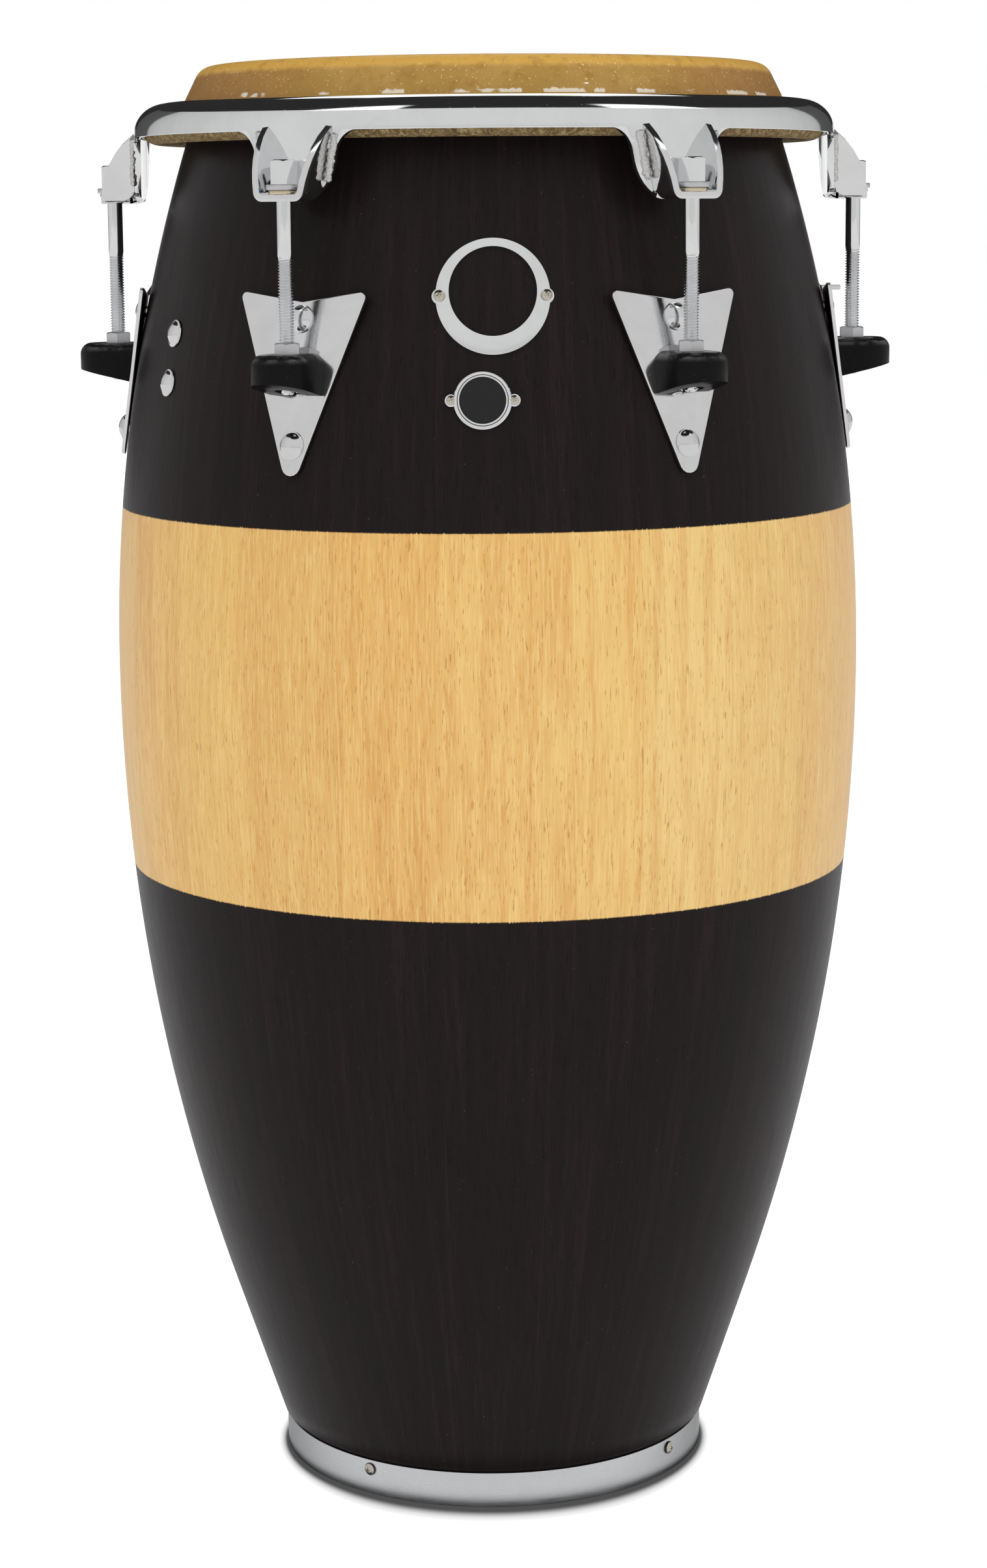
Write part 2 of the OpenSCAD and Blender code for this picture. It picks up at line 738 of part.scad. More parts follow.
module emblem_plate() {
    color("gainsboro") difference() {
        intersection() {
            rotate_extrude($fn = ring_fn) difference() {
                shell_side(-seat_gap - emblem_t);
                shell_side(-seat_gap);
                square([belly_r, belly_z + far]);
            }
            translate([emblem_x, 0, emblem_z]) rotate([90, 0, 0])
                linear_extrude(height = belly_r) emblem_outline();
        }
        for (side = [-1, 1]) emblem_screw_place(side) shell_drill(wood_screw_d, wood_screw_l);
    }
}

module emblem_screws() {
    color("goldenrod") for (side = [-1, 1]) {
        emblem_screw_place(side) translate([2 * seat_gap + emblem_t + 0.1, 0, 0])
            pan_screw(emblem_screw_d, 1.8, wood_screw_d, wood_screw_l);
    }
}

module round_badge() {
    ear_r = badge_screw_d / 2 + 0.6;
    color("black") badge_place() translate([seat_gap, 0, 0]) difference() {
        union() {
            across(badge_t) difference() {
                circle(r = badge_r);
                circle(r = badge_r - badge_border);
            }
            across(badge_t / 2) union() {
                circle(r = badge_r);
                for (side = [-1, 1]) translate([side * badge_screw_x, 0]) circle(r = ear_r);
            }
        }
        for (side = [-1, 1]) translate([0, side * badge_screw_x, 0]) {
            shell_drill(wood_screw_d, wood_screw_l);
            translate([badge_t / 2, 0, 0]) rotate([0, 90, 0])
                cylinder(d = badge_screw_d + 2 * hole_gap, h = badge_t);
        }
    }
}

module badge_screws() {
    color("goldenrod") badge_place() for (side = [-1, 1]) {
        translate([2 * seat_gap + badge_t / 2, side * badge_screw_x, 0])
            pan_screw(badge_screw_d, 1.7, wood_screw_d, wood_screw_l);
    }
}

// ---- Rim, tongues, straps and welds ----

// The cut through the rim: a short skirt, a rounded shoulder and a flat flange with a round edge.
module rim_cut() {
    inner_r = rim_bend_r - rim_t;
    flange_c = [rim_inner_r + rim_t / 2 - rim_bend_c[0], rim_bend_r - rim_t / 2];
    translate(rim_bend_c) polygon(concat(
        [[rim_bend_r, -rim_skirt]],
        arc_points([0, 0], rim_bend_r, 0, 90, round_steps),
        arc_points(flange_c, rim_t / 2, 90, 270),
        arc_points([0, 0], inner_r, 90, 0, round_steps),
        [[inner_r, -rim_skirt]]
    ));
}

// The cut through a tongue: straight down from the rim and turned out at its toe.
module tongue_cut() {
    toe_c = [rim_r + seat_gap, tongue_z + rim_t + seat_gap];
    translate([rim_r - rim_t, toe_c[1]]) square([rim_t, rim_z + rim_skirt - toe_c[1]]);
    intersection() {
        translate(toe_c) difference() {
            circle(r = rim_t + seat_gap);
            circle(r = seat_gap);
        }
        translate([rim_r - rim_t, tongue_z]) square([rim_t + seat_gap, rim_t + seat_gap]);
    }
    translate([toe_c[0], tongue_z]) square([seat_gap + strap_corner / 2, rim_t]);
}

// A tongue's outline, seen along the radius: it runs into the skirt with a fillet at each side.
module tongue_outline() {
    low = tongue_corner + tongue_z;
    blend_z = rim_z + blend_depth;
    side = [for (p = concat(
        [[tongue_half_w + tongue_fillet, rim_z + rim_skirt]],
        arc_points([tongue_half_w + tongue_fillet, blend_z - tongue_fillet], tongue_fillet, 90, 180),
        arc_points([tongue_half_w - tongue_corner, low], tongue_corner, 0, -90)
    )) p];
    polygon(concat(side, [for (i = [len(side) - 1:-1:0]) [-side[i][0], side[i][1]]]));
}

module rim() {
    color("silver") union() {
        rotate_extrude($fn = ring_fn) rim_cut();
        for (i = [1:lug_count]) {
            intersection() {
                rotate_extrude($fn = ring_fn) tongue_cut();
                at_lug(i) translate([rim_r - far / 2, 0, 0]) across(far) tongue_outline();
            }
        }
    }
}

// The strap's cut, seen along the radius: a floor and two walls that lean apart.
module strap_side(inset) {
    low = tongue_z + inset;
    foot = strap_foot_half_w - inset;
    top = strap_top_half_w - inset;
    round_cornered(
        [[-foot, low], [foot, low], [top, tongue_z + strap_h], [-top, tongue_z + strap_h]],
        [strap_corner - inset, strap_corner - inset, 0, 0]
    );
}

module lug_strap(i) {
    floor_r = rim_r + 2 * seat_gap + strap_corner / 2 + 2 * seat_gap;
    color("silver") at_lug(i) difference() {
        intersection() {
            translate([rim_r - past, 0, 0]) across(strap_reach - rim_r + past) difference() {
                strap_side(0);
                strap_side(strap_t);
                translate([-far, tongue_z + strap_h - past / 4]) square([2 * far, far]);
            }
            translate([strap_reach - strap_curve_r, far / 2, tongue_z]) rotate([90, 0, 0])
                cylinder(r = strap_curve_r, h = far);
        }
        cylinder(r = rim_r + seat_gap, h = head_z, $fn = ring_fn);
        cylinder(r = floor_r, h = tongue_z + rim_t + 2 * seat_gap, $fn = ring_fn);
        translate([bolt_circle_r, 0, tongue_z - past]) cylinder(d = strap_hole_d, h = strap_t + 2 * past);
    }
}

// A weld bead in the corner between a strap's wall and the tongue behind it.
module weld_bead(side) {
    low_z = tongue_z + rim_t + weld_leg / 2;
    bead_h = strap_h - weld_leg - rim_t;
    rise = (strap_top_half_w - strap_foot_half_w) / strap_h;
    lean = atan(rise);
    wall_y = strap_foot_half_w + rise * (low_z - tongue_z) + 2 * seat_gap;
    mirror([0, side < 0 ? 1 : 0, 0]) intersection() {
        translate([rim_r - past, wall_y, low_z]) rotate([-lean, 0, 0]) linear_extrude(height = bead_h)
            intersection() {
                circle(r = weld_leg);
                square([weld_leg, weld_leg / 2 + past]);
            }
        difference() {
            translate([0, 0, low_z]) cylinder(r = rim_r + weld_leg, h = bead_h, $fn = ring_fn);
            cylinder(r = rim_r + seat_gap, h = head_z, $fn = ring_fn);
        }
    }
}

module weld_beads() {
    color("gray") for (i = [1:lug_count]) {
        for (side = [-1, 1]) at_lug(i) weld_bead(side);
    }
}

// ---- Tuning bolts and washers ----

// A washer on a tuning bolt, standing on a height.
module washer(d, t, z) {
    for (i = [1:lug_count]) {
        at_lug(i) translate([bolt_circle_r, 0, z]) difference() {
            cylinder(d = d, h = t);
            translate([0, 0, -past]) cylinder(d = strap_hole_d, h = t + 2 * past);
        }
    }
}

module steel_washers() {
    color("silver") washer(steel_washer_d, steel_washer_t, steel_z);
}

module brass_washers() {
    color("goldenrod") washer(brass_washer_d, brass_washer_t, brass_z);
}

module tuning_bolt(i) {
    color("silver") at_lug(i) translate([bolt_circle_r, 0, 0]) {
        translate([0, 0, bolt_head_z]) rotate([0, 0, 30]) hex_head(bolt_head_af, bolt_head_h, past);
        translate([0, 0, thread_top_z]) cylinder(d = shank_d, h = bolt_head_z - thread_top_z + past);
        translate([0, 0, bolt_tip_z]) cylinder(d = thread_d, h = thread_top_z - bolt_tip_z + past);
    }
}

// ---- Head ----

// The cut through the hide: flat top, crown, collar and the roll round the flesh hoop.
module hide_cut() {
    normal = 90 - collar_slope;
    roll_start = normal + 180 - acos((roll_r - hide_t) / roll_r);
    difference() {
        polygon(concat(
            [[0, head_z]],
            arc_points(crown_c, crown_r, 90, normal, round_steps),
            arc_points(roll_c, roll_r, roll_start, normal - 180, 4 * round_steps),
            arc_points(crown_c, crown_r - hide_t, normal, 90, round_steps),
            [[0, head_z - hide_t]]
        ));
        translate(roll_c) circle(r = hoop_d / 2 + seat_gap);
    }
}

module drum_head() {
    color("peru") rotate_extrude($fn = ring_fn) hide_cut();
}

module flesh_hoop() {
    color("gray") rotate_extrude($fn = ring_fn) translate(roll_c) circle(d = hoop_d);
}

shell_staves();
base_band();
base_screws();
side_plate(1);  // side_plate_1
side_plate(2);  // side_plate_2
side_plate(3);  // side_plate_3
side_plate(4);  // side_plate_4
side_plate(5);  // side_plate_5
side_plate(6);  // side_plate_6
lug_block(1);  // lug_block_1
lug_block(2);  // lug_block_2
lug_block(3);  // lug_block_3
lug_block(4);  // lug_block_4
lug_block(5);  // lug_block_5
lug_block(6);  // lug_block_6
lug_boot(1);  // lug_boot_1
lug_boot(2);  // lug_boot_2
lug_boot(3);  // lug_boot_3
lug_boot(4);  // lug_boot_4
lug_boot(5);  // lug_boot_5
lug_boot(6);  // lug_boot_6
captive_nuts();
carriage_bolts();
spare_studs();
inner_washers();
inner_nuts();
emblem_plate();
emblem_screws();
round_badge();
badge_screws();
rim();
lug_strap(1);  // lug_strap_1
lug_strap(2);  // lug_strap_2
lug_strap(3);  // lug_strap_3
lug_strap(4);  // lug_strap_4
lug_strap(5);  // lug_strap_5
lug_strap(6);  // lug_strap_6
weld_beads();
steel_washers();
brass_washers();
drum_head();
flesh_hoop();
tuning_bolt(1);  // tuning_bolt_1
tuning_bolt(2);  // tuning_bolt_2
tuning_bolt(3);  // tuning_bolt_3
tuning_bolt(4);  // tuning_bolt_4
tuning_bolt(5);  // tuning_bolt_5
tuning_bolt(6);  // tuning_bolt_6
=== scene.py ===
"""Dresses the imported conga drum: barrel shell, tongued rim, tuning bolts, side plates and rawhide head."""

import logging
import math
import random
from dataclasses import dataclass, field, replace
from enum import Enum
from typing import Callable, Iterable, Optional, Sequence

import bmesh
import bpy
from mathutils import Matrix, Vector, noise
from mathutils.bvhtree import BVHTree


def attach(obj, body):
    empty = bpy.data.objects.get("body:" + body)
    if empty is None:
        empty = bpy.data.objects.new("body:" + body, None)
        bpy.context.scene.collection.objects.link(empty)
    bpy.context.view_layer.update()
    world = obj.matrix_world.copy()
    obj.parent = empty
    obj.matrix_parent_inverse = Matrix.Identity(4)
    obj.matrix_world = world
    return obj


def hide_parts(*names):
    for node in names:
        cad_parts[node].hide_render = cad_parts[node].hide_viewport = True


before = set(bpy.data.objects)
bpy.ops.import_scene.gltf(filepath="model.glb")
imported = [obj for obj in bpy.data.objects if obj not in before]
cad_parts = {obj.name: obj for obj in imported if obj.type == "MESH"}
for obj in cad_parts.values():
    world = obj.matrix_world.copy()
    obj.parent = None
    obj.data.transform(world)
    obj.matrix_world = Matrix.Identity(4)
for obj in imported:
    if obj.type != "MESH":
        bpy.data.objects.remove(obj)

BMesh, BMEdge = bmesh.types.BMesh, bmesh.types.BMEdge
Object, Node, Socket = bpy.types.Object, bpy.types.Node, bpy.types.NodeSocket
MM = 0.001
LUGS = 6
LUG_START = 0.6
EACH_LUG = range(1, LUGS + 1)
FULL_TURN = 2 * math.pi
STAVES = 24
STAVE_TURN = FULL_TURN / STAVES
FIRST_JOINT = STAVE_TURN / 2
log = logging.getLogger("conga")


class Slot(Enum):
    """The record's material slots."""

    WOOD = "shell_wood"
    BAND = "band_steel"
    BOOT = "boot_black"
    BRASS = "brass"
    HIDE = "hide"
    BADGE = "badge_black"
    ZINC = "zinc_steel"
    CHROME = "chrome"


class Body(Enum):
    """The CAD bodies that pieces ride on."""

    SHELL = "shell"
    RIM_SET = "rim_set"
    BOLT_1 = "bolt_1"
    BOLT_2 = "bolt_2"
    BOLT_3 = "bolt_3"
    BOLT_4 = "bolt_4"
    BOLT_5 = "bolt_5"
    BOLT_6 = "bolt_6"


# ---- Node trees ----


class Recipe:
    """Adds and joins shader nodes in one tree."""

    def __init__(self, tree: bpy.types.NodeTree) -> None:
        """Keeps the tree that nodes are added to. Args: tree."""
        self.tree = tree

    def add(self, kind: str, inputs: Optional[dict] = None, **settings: object) -> Node:
        """Adds a node.

        Args:
            kind: The node's type name.
            inputs: Values or sockets by input name or number.
            settings: The node's own properties.

        Returns:
            The new node.
        """
        node = self.tree.nodes.new(kind)
        for name, value in settings.items():
            setattr(node, name, value)
        for key, value in (inputs or {}).items():
            self.feed(node.inputs[key], value)
        return node

    def feed(self, socket: Socket, value: object) -> None:
        """Links a socket to an input, or sets a constant on it.

        Args:
            socket: The input that is fed.
            value: A socket to link, or a constant.
        """
        if isinstance(value, Socket):
            self.tree.links.new(value, socket)
        elif hasattr(value, "__len__") and len(value) == 3 and socket.type == "RGBA":
            socket.default_value = (*value, 1.0)
        else:
            socket.default_value = value

    def sum(self, kind: str, a: object, b: object = 0.0, c: object = 0.0) -> Socket:
        """Adds a Math node. Args: kind, and the values or sockets a, b, c. Returns: the socket."""
        return self.add("ShaderNodeMath", {0: a, 1: b, 2: c}, operation=kind).outputs[0]

    def vector(self, kind: str, a: object, b: object = (0, 0, 0)) -> Node:
        """Adds a Vector Math node. Args: kind, and the vectors or sockets a, b. Returns: the node."""
        return self.add("ShaderNodeVectorMath", {0: a, 1: b}, operation=kind)

    def part(self, vector: object, index: int) -> Socket:
        """One part of a vector. Args: vector, index. Returns: the socket."""
        return self.add("ShaderNodeSeparateXYZ", {0: vector}).outputs[index]

    def scaled(self, vector: object, scale: tuple) -> Socket:
        """Multiplies a vector by another. Args: vector, scale. Returns: the socket."""
        return self.vector("MULTIPLY", vector, scale).outputs[0]

    def grain(self, vector: object, scale: float, detail: float = 3.0, rough: float = 0.55,
              w: object = None, distortion: float = 0.0) -> Socket:
        """Adds a Noise Texture.

        Args:
            vector: Coordinates.
            scale: Features per metre.
            detail: Octaves.
            rough: How strong the fine octaves are.
            w: A fourth coordinate, or None.
            distortion: How much the noise bends itself.

        Returns:
            The value's socket.
        """
        inputs = {"Vector": vector, "Scale": scale, "Detail": detail, "Roughness": rough, "Distortion": distortion}
        if w is None:
            return self.add("ShaderNodeTexNoise", inputs).outputs[0]
        inputs["W"] = w
        return self.add("ShaderNodeTexNoise", inputs, noise_dimensions="4D").outputs[0]

    def ease(self, value: object, low: float, high: float, to_low: object = 0.0,
             to_high: object = 1.0) -> Socket:
        """Maps a range smoothly to another. Args: value, low, high, to_low, to_high. Returns: the socket."""
        inputs = {"Value": value, "From Min": low, "From Max": high, "To Min": to_low, "To Max": to_high}
        return self.add("ShaderNodeMapRange", inputs, interpolation_type="SMOOTHSTEP").outputs[0]

    def blend(self, factor: object, a: object, b: object, kind: str = "MIX") -> Socket:
        """Mixes two colours.

        Args:
            factor: How much of the second.
            a: First colour.
            b: Second colour.
            kind: Blend type.

        Returns:
            The colour's socket.
        """
        node = self.add("ShaderNodeMix", data_type="RGBA", blend_type=kind, clamp_result=False)
        self.feed(node.inputs[0], factor)
        self.feed(node.inputs[6], a)
        self.feed(node.inputs[7], b)
        return node.outputs[2]

    def ramp(self, factor: object, stops: Sequence[tuple], steps: bool = False) -> Socket:
        """Adds a colour ramp.

        Args:
            factor: The value that picks a colour.
            stops: (position, (r, g, b)) pairs in order.
            steps: Whether the colours change in steps.

        Returns:
            The colour's socket.
        """
        node = self.add("ShaderNodeValToRGB", {0: factor})
        node.color_ramp.interpolation = "CONSTANT" if steps else "LINEAR"
        elements = node.color_ramp.elements
        elements.remove(elements[1])
        elements[0].position, elements[0].color = stops[0][0], (*stops[0][1], 1.0)
        for place, colour in stops[1:]:
            elements.new(place).color = (*colour, 1.0)
        return node.outputs[0]

    def bump(self, height: object, strength: float, distance: float) -> Socket:
        """Adds a Bump node. Args: height, strength, distance in metres. Returns: the normal's socket."""
        inputs = {"Height": height, "Strength": strength, "Distance": distance}
        return self.add("ShaderNodeBump", inputs).outputs[0]

    def object_place(self) -> Socket:
        """Object coordinates, in metres. Returns: the socket."""
        return self.add("ShaderNodeTexCoord").outputs["Object"]


class Effects:
    """The node groups that several finishes share, each built once."""

    _made: dict = {}

    @classmethod
    def group(cls, name: str, inputs: Sequence[tuple], outputs: Sequence[str],
              fill: Callable[[Recipe, Node, Node], None]) -> bpy.types.NodeTree:
        """Builds a node group, or returns the one made before.

        Args:
            name: The group's name.
            inputs: (name, default) pairs of value inputs.
            outputs: Names of value outputs.
            fill: Adds the group's nodes between its input and output nodes.

        Returns:
            The node group.
        """
        if name in cls._made:
            return cls._made[name]
        tree = bpy.data.node_groups.new(name, "ShaderNodeTree")
        for label, default in inputs:
            socket = tree.interface.new_socket(label, in_out="INPUT", socket_type="NodeSocketFloat")
            socket.default_value = default
        for label in outputs:
            tree.interface.new_socket(label, in_out="OUTPUT", socket_type="NodeSocketFloat")
        recipe = Recipe(tree)
        fill(recipe, recipe.add("NodeGroupInput"), recipe.add("NodeGroupOutput"))
        cls._made[name] = tree
        return tree

    @classmethod
    def handling(cls) -> bpy.types.NodeTree:
        """Smudges, hairline scratches and dust on hard surfaces.

        Returns:
            The group.
        """

        def fill(r: Recipe, given: Node, out: Node) -> None:
            """Adds the group's nodes.

            Args:
                r: The recipe.
                given: The group's input.
                out: The group's output.
            """
            place = r.vector("SCALE", r.object_place())
            r.feed(place.inputs["Scale"], given.outputs["Size"])
            spot = place.outputs[0]
            r.feed(out.inputs["Smudge"], r.ease(r.grain(spot, 38, 4, 0.6, distortion=0.6), 0.35, 0.72))
            lines = r.grain(r.scaled(spot, (1.0, 1.0, 14.0)), 210, 2, 0.5)
            across = r.grain(r.scaled(spot, (9.0, 9.0, 1.0)), 260, 2, 0.5)
            hair = r.sum("MAXIMUM", r.ease(lines, 0.63, 0.7), r.ease(across, 0.64, 0.71))
            patches = r.ease(r.grain(spot, 24, 2), 0.45, 0.65)
            r.feed(out.inputs["Scratches"], r.sum("MULTIPLY", hair, patches))
            r.feed(out.inputs["Dust"], r.ease(r.grain(spot, 900, 2, 0.4), 0.68, 0.76))

        return cls.group("hard_surface_handling", [("Size", 1.0)], ["Smudge", "Scratches", "Dust"], fill)

    @classmethod
    def stave_grain(cls) -> bpy.types.NodeTree:
        """Grain, pores and figure that run along the staves and change from stave to stave.

        Returns:
            The group.
        """

        def fill(r: Recipe, given: Node, out: Node) -> None:
            """Adds the group's nodes.

            Args:
                r: The recipe.
                given: The group's input.
                out: The group's output.
            """
            place = r.object_place()
            split = r.add("ShaderNodeSeparateXYZ", {0: place})
            flat = r.add("ShaderNodeCombineXYZ", {0: split.outputs[0], 1: split.outputs[1]}).outputs[0]
            ring = r.scaled(r.vector("NORMALIZE", flat).outputs[0], (0.2, 0.2, 0.0))
            angle = r.sum("ARCTAN2", split.outputs[1], split.outputs[0])
            staves = r.sum("DIVIDE", r.sum("SUBTRACT", angle, FIRST_JOINT), STAVE_TURN)
            stave = r.sum("FLOOR", staves)
            seed = r.add("ShaderNodeTexWhiteNoise", {"W": stave}, noise_dimensions="1D").outputs[0]
            shift = r.sum("MULTIPLY", seed, 9.0)
            climbs = [r.sum("MULTIPLY", split.outputs[2], share) for share in (0.055, 0.10)]
            ways = [r.add("ShaderNodeCombineXYZ", {2: climb}).outputs[0] for climb in climbs]
            fibre, short = (r.vector("ADD", ring, way).outputs[0] for way in ways)
            r.feed(out.inputs["Grain"], r.grain(fibre, 150, 5, 0.62, shift, 0.5))
            r.feed(out.inputs["Fine"], r.grain(fibre, 1100, 3, 0.6, shift))
            r.feed(out.inputs["Pores"], r.ease(r.grain(short, 1500, 2, 0.5, shift), 0.60, 0.68))
            bend = r.grain(fibre, 52, 2, 0.5, shift)
            waves = r.sum("SINE", r.sum("MULTIPLY", bend, 95.0))
            r.feed(out.inputs["Figure"], r.ease(waves, 0.1, 1.0))
            r.feed(out.inputs["Seed"], seed)
            edge = r.sum("FRACT", staves)
            off = r.sum("MINIMUM", edge, r.sum("SUBTRACT", 1.0, edge))
            r.feed(out.inputs["Joint"], r.ease(off, 0.002, 0.008, 1.0, 0.0))

        return cls.group("stave_grain", [], ["Grain", "Fine", "Pores", "Figure", "Seed", "Joint"], fill)


# ---- Finishes ----


@dataclass(frozen=True)
class Finish:
    """A named surface with its plain shader values."""

    name: str
    colour: tuple = (0.5, 0.5, 0.5)
    metal: float = 0.0
    rough: float = 0.4
    coat: float = 0.0
    shine: float = 0.5

    def make(self) -> bpy.types.Material:
        """Builds the material, or finds the one made before.

        Returns:
            The material.
        """
        done = bpy.data.materials.get(self.name)
        if done:
            return done
        material = bpy.data.materials.new(self.name)
        material.use_nodes = True
        tree = material.node_tree
        tree.nodes.clear()
        recipe = Recipe(tree)
        shader = recipe.add("ShaderNodeBsdfPrincipled", {
            "Base Color": self.colour, "Metallic": self.metal, "Roughness": self.rough, "Coat Weight": self.coat,
            "Specular IOR Level": self.shine,
        })
        end = recipe.add("ShaderNodeOutputMaterial", {0: shader.outputs[0]})
        end.is_active_output = True
        self.dress(recipe, shader)
        return material

    def dress(self, r: Recipe, shader: Node) -> None:
        """Adds what varies over the surface. Args: r, shader."""


@dataclass(frozen=True)
class Metal(Finish):
    """Plated or bare metal with smudges, hairlines and a little dust."""

    metal: float = 1.0
    smudge: float = 0.08
    size: float = 1.0
    ripple: float = 0.0

    def dress(self, r: Recipe, shader: Node) -> None:
        """Varies roughness and tone.

        Args:
            r: The recipe.
            shader: Its shader.
        """
        marks = r.add("ShaderNodeGroup", {"Size": self.size}, node_tree=Effects.handling())
        rough = r.sum("MULTIPLY_ADD", marks.outputs["Smudge"], self.smudge, self.rough)
        rough = r.sum("MULTIPLY_ADD", marks.outputs["Scratches"], 0.10, rough)
        r.feed(shader.inputs["Roughness"], r.sum("MULTIPLY_ADD", marks.outputs["Dust"], 0.15, rough))
        dull = tuple(c * 0.82 for c in self.colour)
        tone = r.blend(r.sum("MULTIPLY", marks.outputs["Smudge"], 0.35), self.colour, dull)
        r.feed(shader.inputs["Base Color"], tone)
        if self.ripple:
            waves = r.grain(r.object_place(), 60, 2)
            r.feed(shader.inputs["Normal"], r.bump(waves, self.ripple, 0.0004))


@dataclass(frozen=True)
class BrushedBand(Finish):
    """Rolled steel strip with a fine grain round the foot, and painted shade where it turns away from the eye."""

    metal: float = 1.0
    # How dark the painted shade makes the band's colour where it turns away from the eye.
    grazing_painted_shade: float = 0.38

    def dress(self, r: Recipe, shader: Node) -> None:
        """Adds the rolled lines, and painted shade where the band turns away from the eye.

        Args:
            r: The recipe.
            shader: Its shader.
        """
        marks = r.add("ShaderNodeGroup", node_tree=Effects.handling())
        lines = r.grain(r.scaled(r.object_place(), (1.0, 1.0, 60.0)), 60, 3, 0.6)
        rough = r.ease(lines, 0.3, 0.7, self.rough - 0.05, self.rough + 0.07)
        r.feed(shader.inputs["Roughness"], r.sum("MULTIPLY_ADD", marks.outputs["Smudge"], 0.06, rough))
        # Painted shade: the colour darkens where the band turns away from the eye.
        turned = r.add("ShaderNodeLayerWeight", {"Blend": 0.5}).outputs["Facing"]
        painted_edge_shade = r.ease(turned, 0.15, 0.9, 1.0, self.grazing_painted_shade)
        tone = r.sum("MULTIPLY", r.ease(lines, 0.3, 0.7, 0.97, 1.02), painted_edge_shade)
        r.feed(shader.inputs["Base Color"], r.blend(1.0, self.colour, tone, "MULTIPLY"))
        r.feed(shader.inputs["Normal"], r.bump(lines, 0.05, 0.0002))


@dataclass(frozen=True)
class StainedStaves(Finish):
    """Rubberwood staves: natural honey in the middle, dark stain above and below."""

    band_low: float = 0.3373
    band_high: float = 0.5308
    edge_blur: float = 0.0004
    edge_bleed: float = 0.0007
    honey: tuple = (
        (0.70, 0.43, 0.140), (0.71, 0.445, 0.145), (0.70, 0.42, 0.14), (0.72, 0.45, 0.15),
        (0.70, 0.435, 0.145), (0.70, 0.42, 0.135), (0.71, 0.43, 0.135), (0.70, 0.42, 0.13),
        (0.70, 0.415, 0.13), (0.72, 0.44, 0.145), (0.71, 0.44, 0.135), (0.70, 0.435, 0.135),
    )
    front: tuple = (
        (3, (0.68, 0.405, 0.125)), (4, (0.70, 0.41, 0.125)), (5, (0.72, 0.445, 0.145)), (6, (0.735, 0.475, 0.16)),
        (7, (0.735, 0.51, 0.19)), (8, (0.70, 0.47, 0.165)), (9, (0.67, 0.43, 0.155)),
    )
    grain_tint: tuple = (0.60, 0.30, 0.075)
    figure_tint: tuple = (0.60, 0.31, 0.085)
    fine_tint: tuple = (0.82, 0.60, 0.25)
    pore_tint: tuple = (0.46, 0.20, 0.048)
    stain: tuple = (0.0105, 0.0078, 0.0080)
    stain_warm: tuple = (0.0170, 0.0108, 0.0105)
    stain_fine: tuple = (0.004, 0.003, 0.003)
    stain_pore: tuple = (0.003, 0.002, 0.002)
    stain_speck: tuple = (0.16, 0.11, 0.08)
    stain_shine: float = 0.095
    joint_tint: tuple = (0.10, 0.05, 0.02)
    joint_share: float = 0.09

    def stave_tones(self, r: Recipe) -> Socket:
        """One tone for each stave, counted round from -180 degrees.

        Args:
            r: The recipe.

        Returns:
            The colour's socket.
        """
        front = dict(self.front)
        place = r.add("ShaderNodeSeparateXYZ", {0: r.object_place()})
        angle = r.sum("ARCTAN2", place.outputs[1], place.outputs[0])
        turn = r.sum("MULTIPLY_ADD", angle, 1 / FULL_TURN, 0.5)
        turn = r.sum("FRACT", r.sum("SUBTRACT", turn, FIRST_JOINT / FULL_TURN - 1.0))
        count = len(self.honey)
        stops = [(k / STAVES, front.get(k, self.honey[(k * 5) % count])) for k in range(STAVES)]
        return r.ramp(turn, stops, steps=True)

    def clear_wood(self, r: Recipe, wood: Node) -> Socket:
        """The natural wood's colour.

        Args:
            r: The recipe.
            wood: The grain node.

        Returns:
            The colour's socket.
        """
        streaky = r.ease(wood.outputs["Seed"], 0.1, 0.9, 0.35, 0.80)
        streaks = r.sum("MULTIPLY", r.ease(wood.outputs["Grain"], 0.40, 0.66), streaky)
        tone = r.blend(streaks, self.stave_tones(r), self.grain_tint)
        tone = r.blend(r.sum("MULTIPLY", wood.outputs["Figure"], 0.10), tone, self.figure_tint)
        tone = r.blend(r.ease(wood.outputs["Fine"], 0.42, 0.68, 0.0, 0.50), tone, self.fine_tint)
        return r.blend(r.sum("MULTIPLY", wood.outputs["Pores"], 0.70), tone, self.pore_tint)

    def dark_stain(self, r: Recipe, wood: Node) -> Socket:
        """The stained wood's colour.

        Args:
            r: The recipe.
            wood: The grain node.

        Returns:
            The colour's socket.
        """
        tone = r.blend(r.ease(wood.outputs["Grain"], 0.42, 0.72), self.stain, self.stain_warm)
        tone = r.blend(r.ease(wood.outputs["Fine"], 0.45, 0.75, 0.0, 0.5), tone, self.stain_fine)
        tone = r.blend(r.sum("MULTIPLY", wood.outputs["Pores"], 0.5), tone, self.stain_pore)
        specks = r.ease(r.grain(r.object_place(), 620, 2, 0.4), 0.745, 0.80)
        return r.blend(r.sum("MULTIPLY", specks, 0.30), tone, self.stain_speck)

    def stained(self, r: Recipe, wood: Node) -> Socket:
        """Where the stain is, with edges that bleed into the grain.

        Args:
            r: The recipe.
            wood: The grain node.

        Returns:
            The mask's socket.
        """
        height = r.part(r.object_place(), 2)
        bleed = r.ease(wood.outputs["Fine"], 0.52, 0.75, 0.0, self.edge_bleed)
        low, high, blur = self.band_low, self.band_high, self.edge_blur
        above = r.ease(r.sum("SUBTRACT", height, bleed), high - blur, high + blur)
        below = r.ease(r.sum("ADD", height, bleed), low - blur, low + blur, 1.0, 0.0)
        return r.sum("MAXIMUM", above, below)

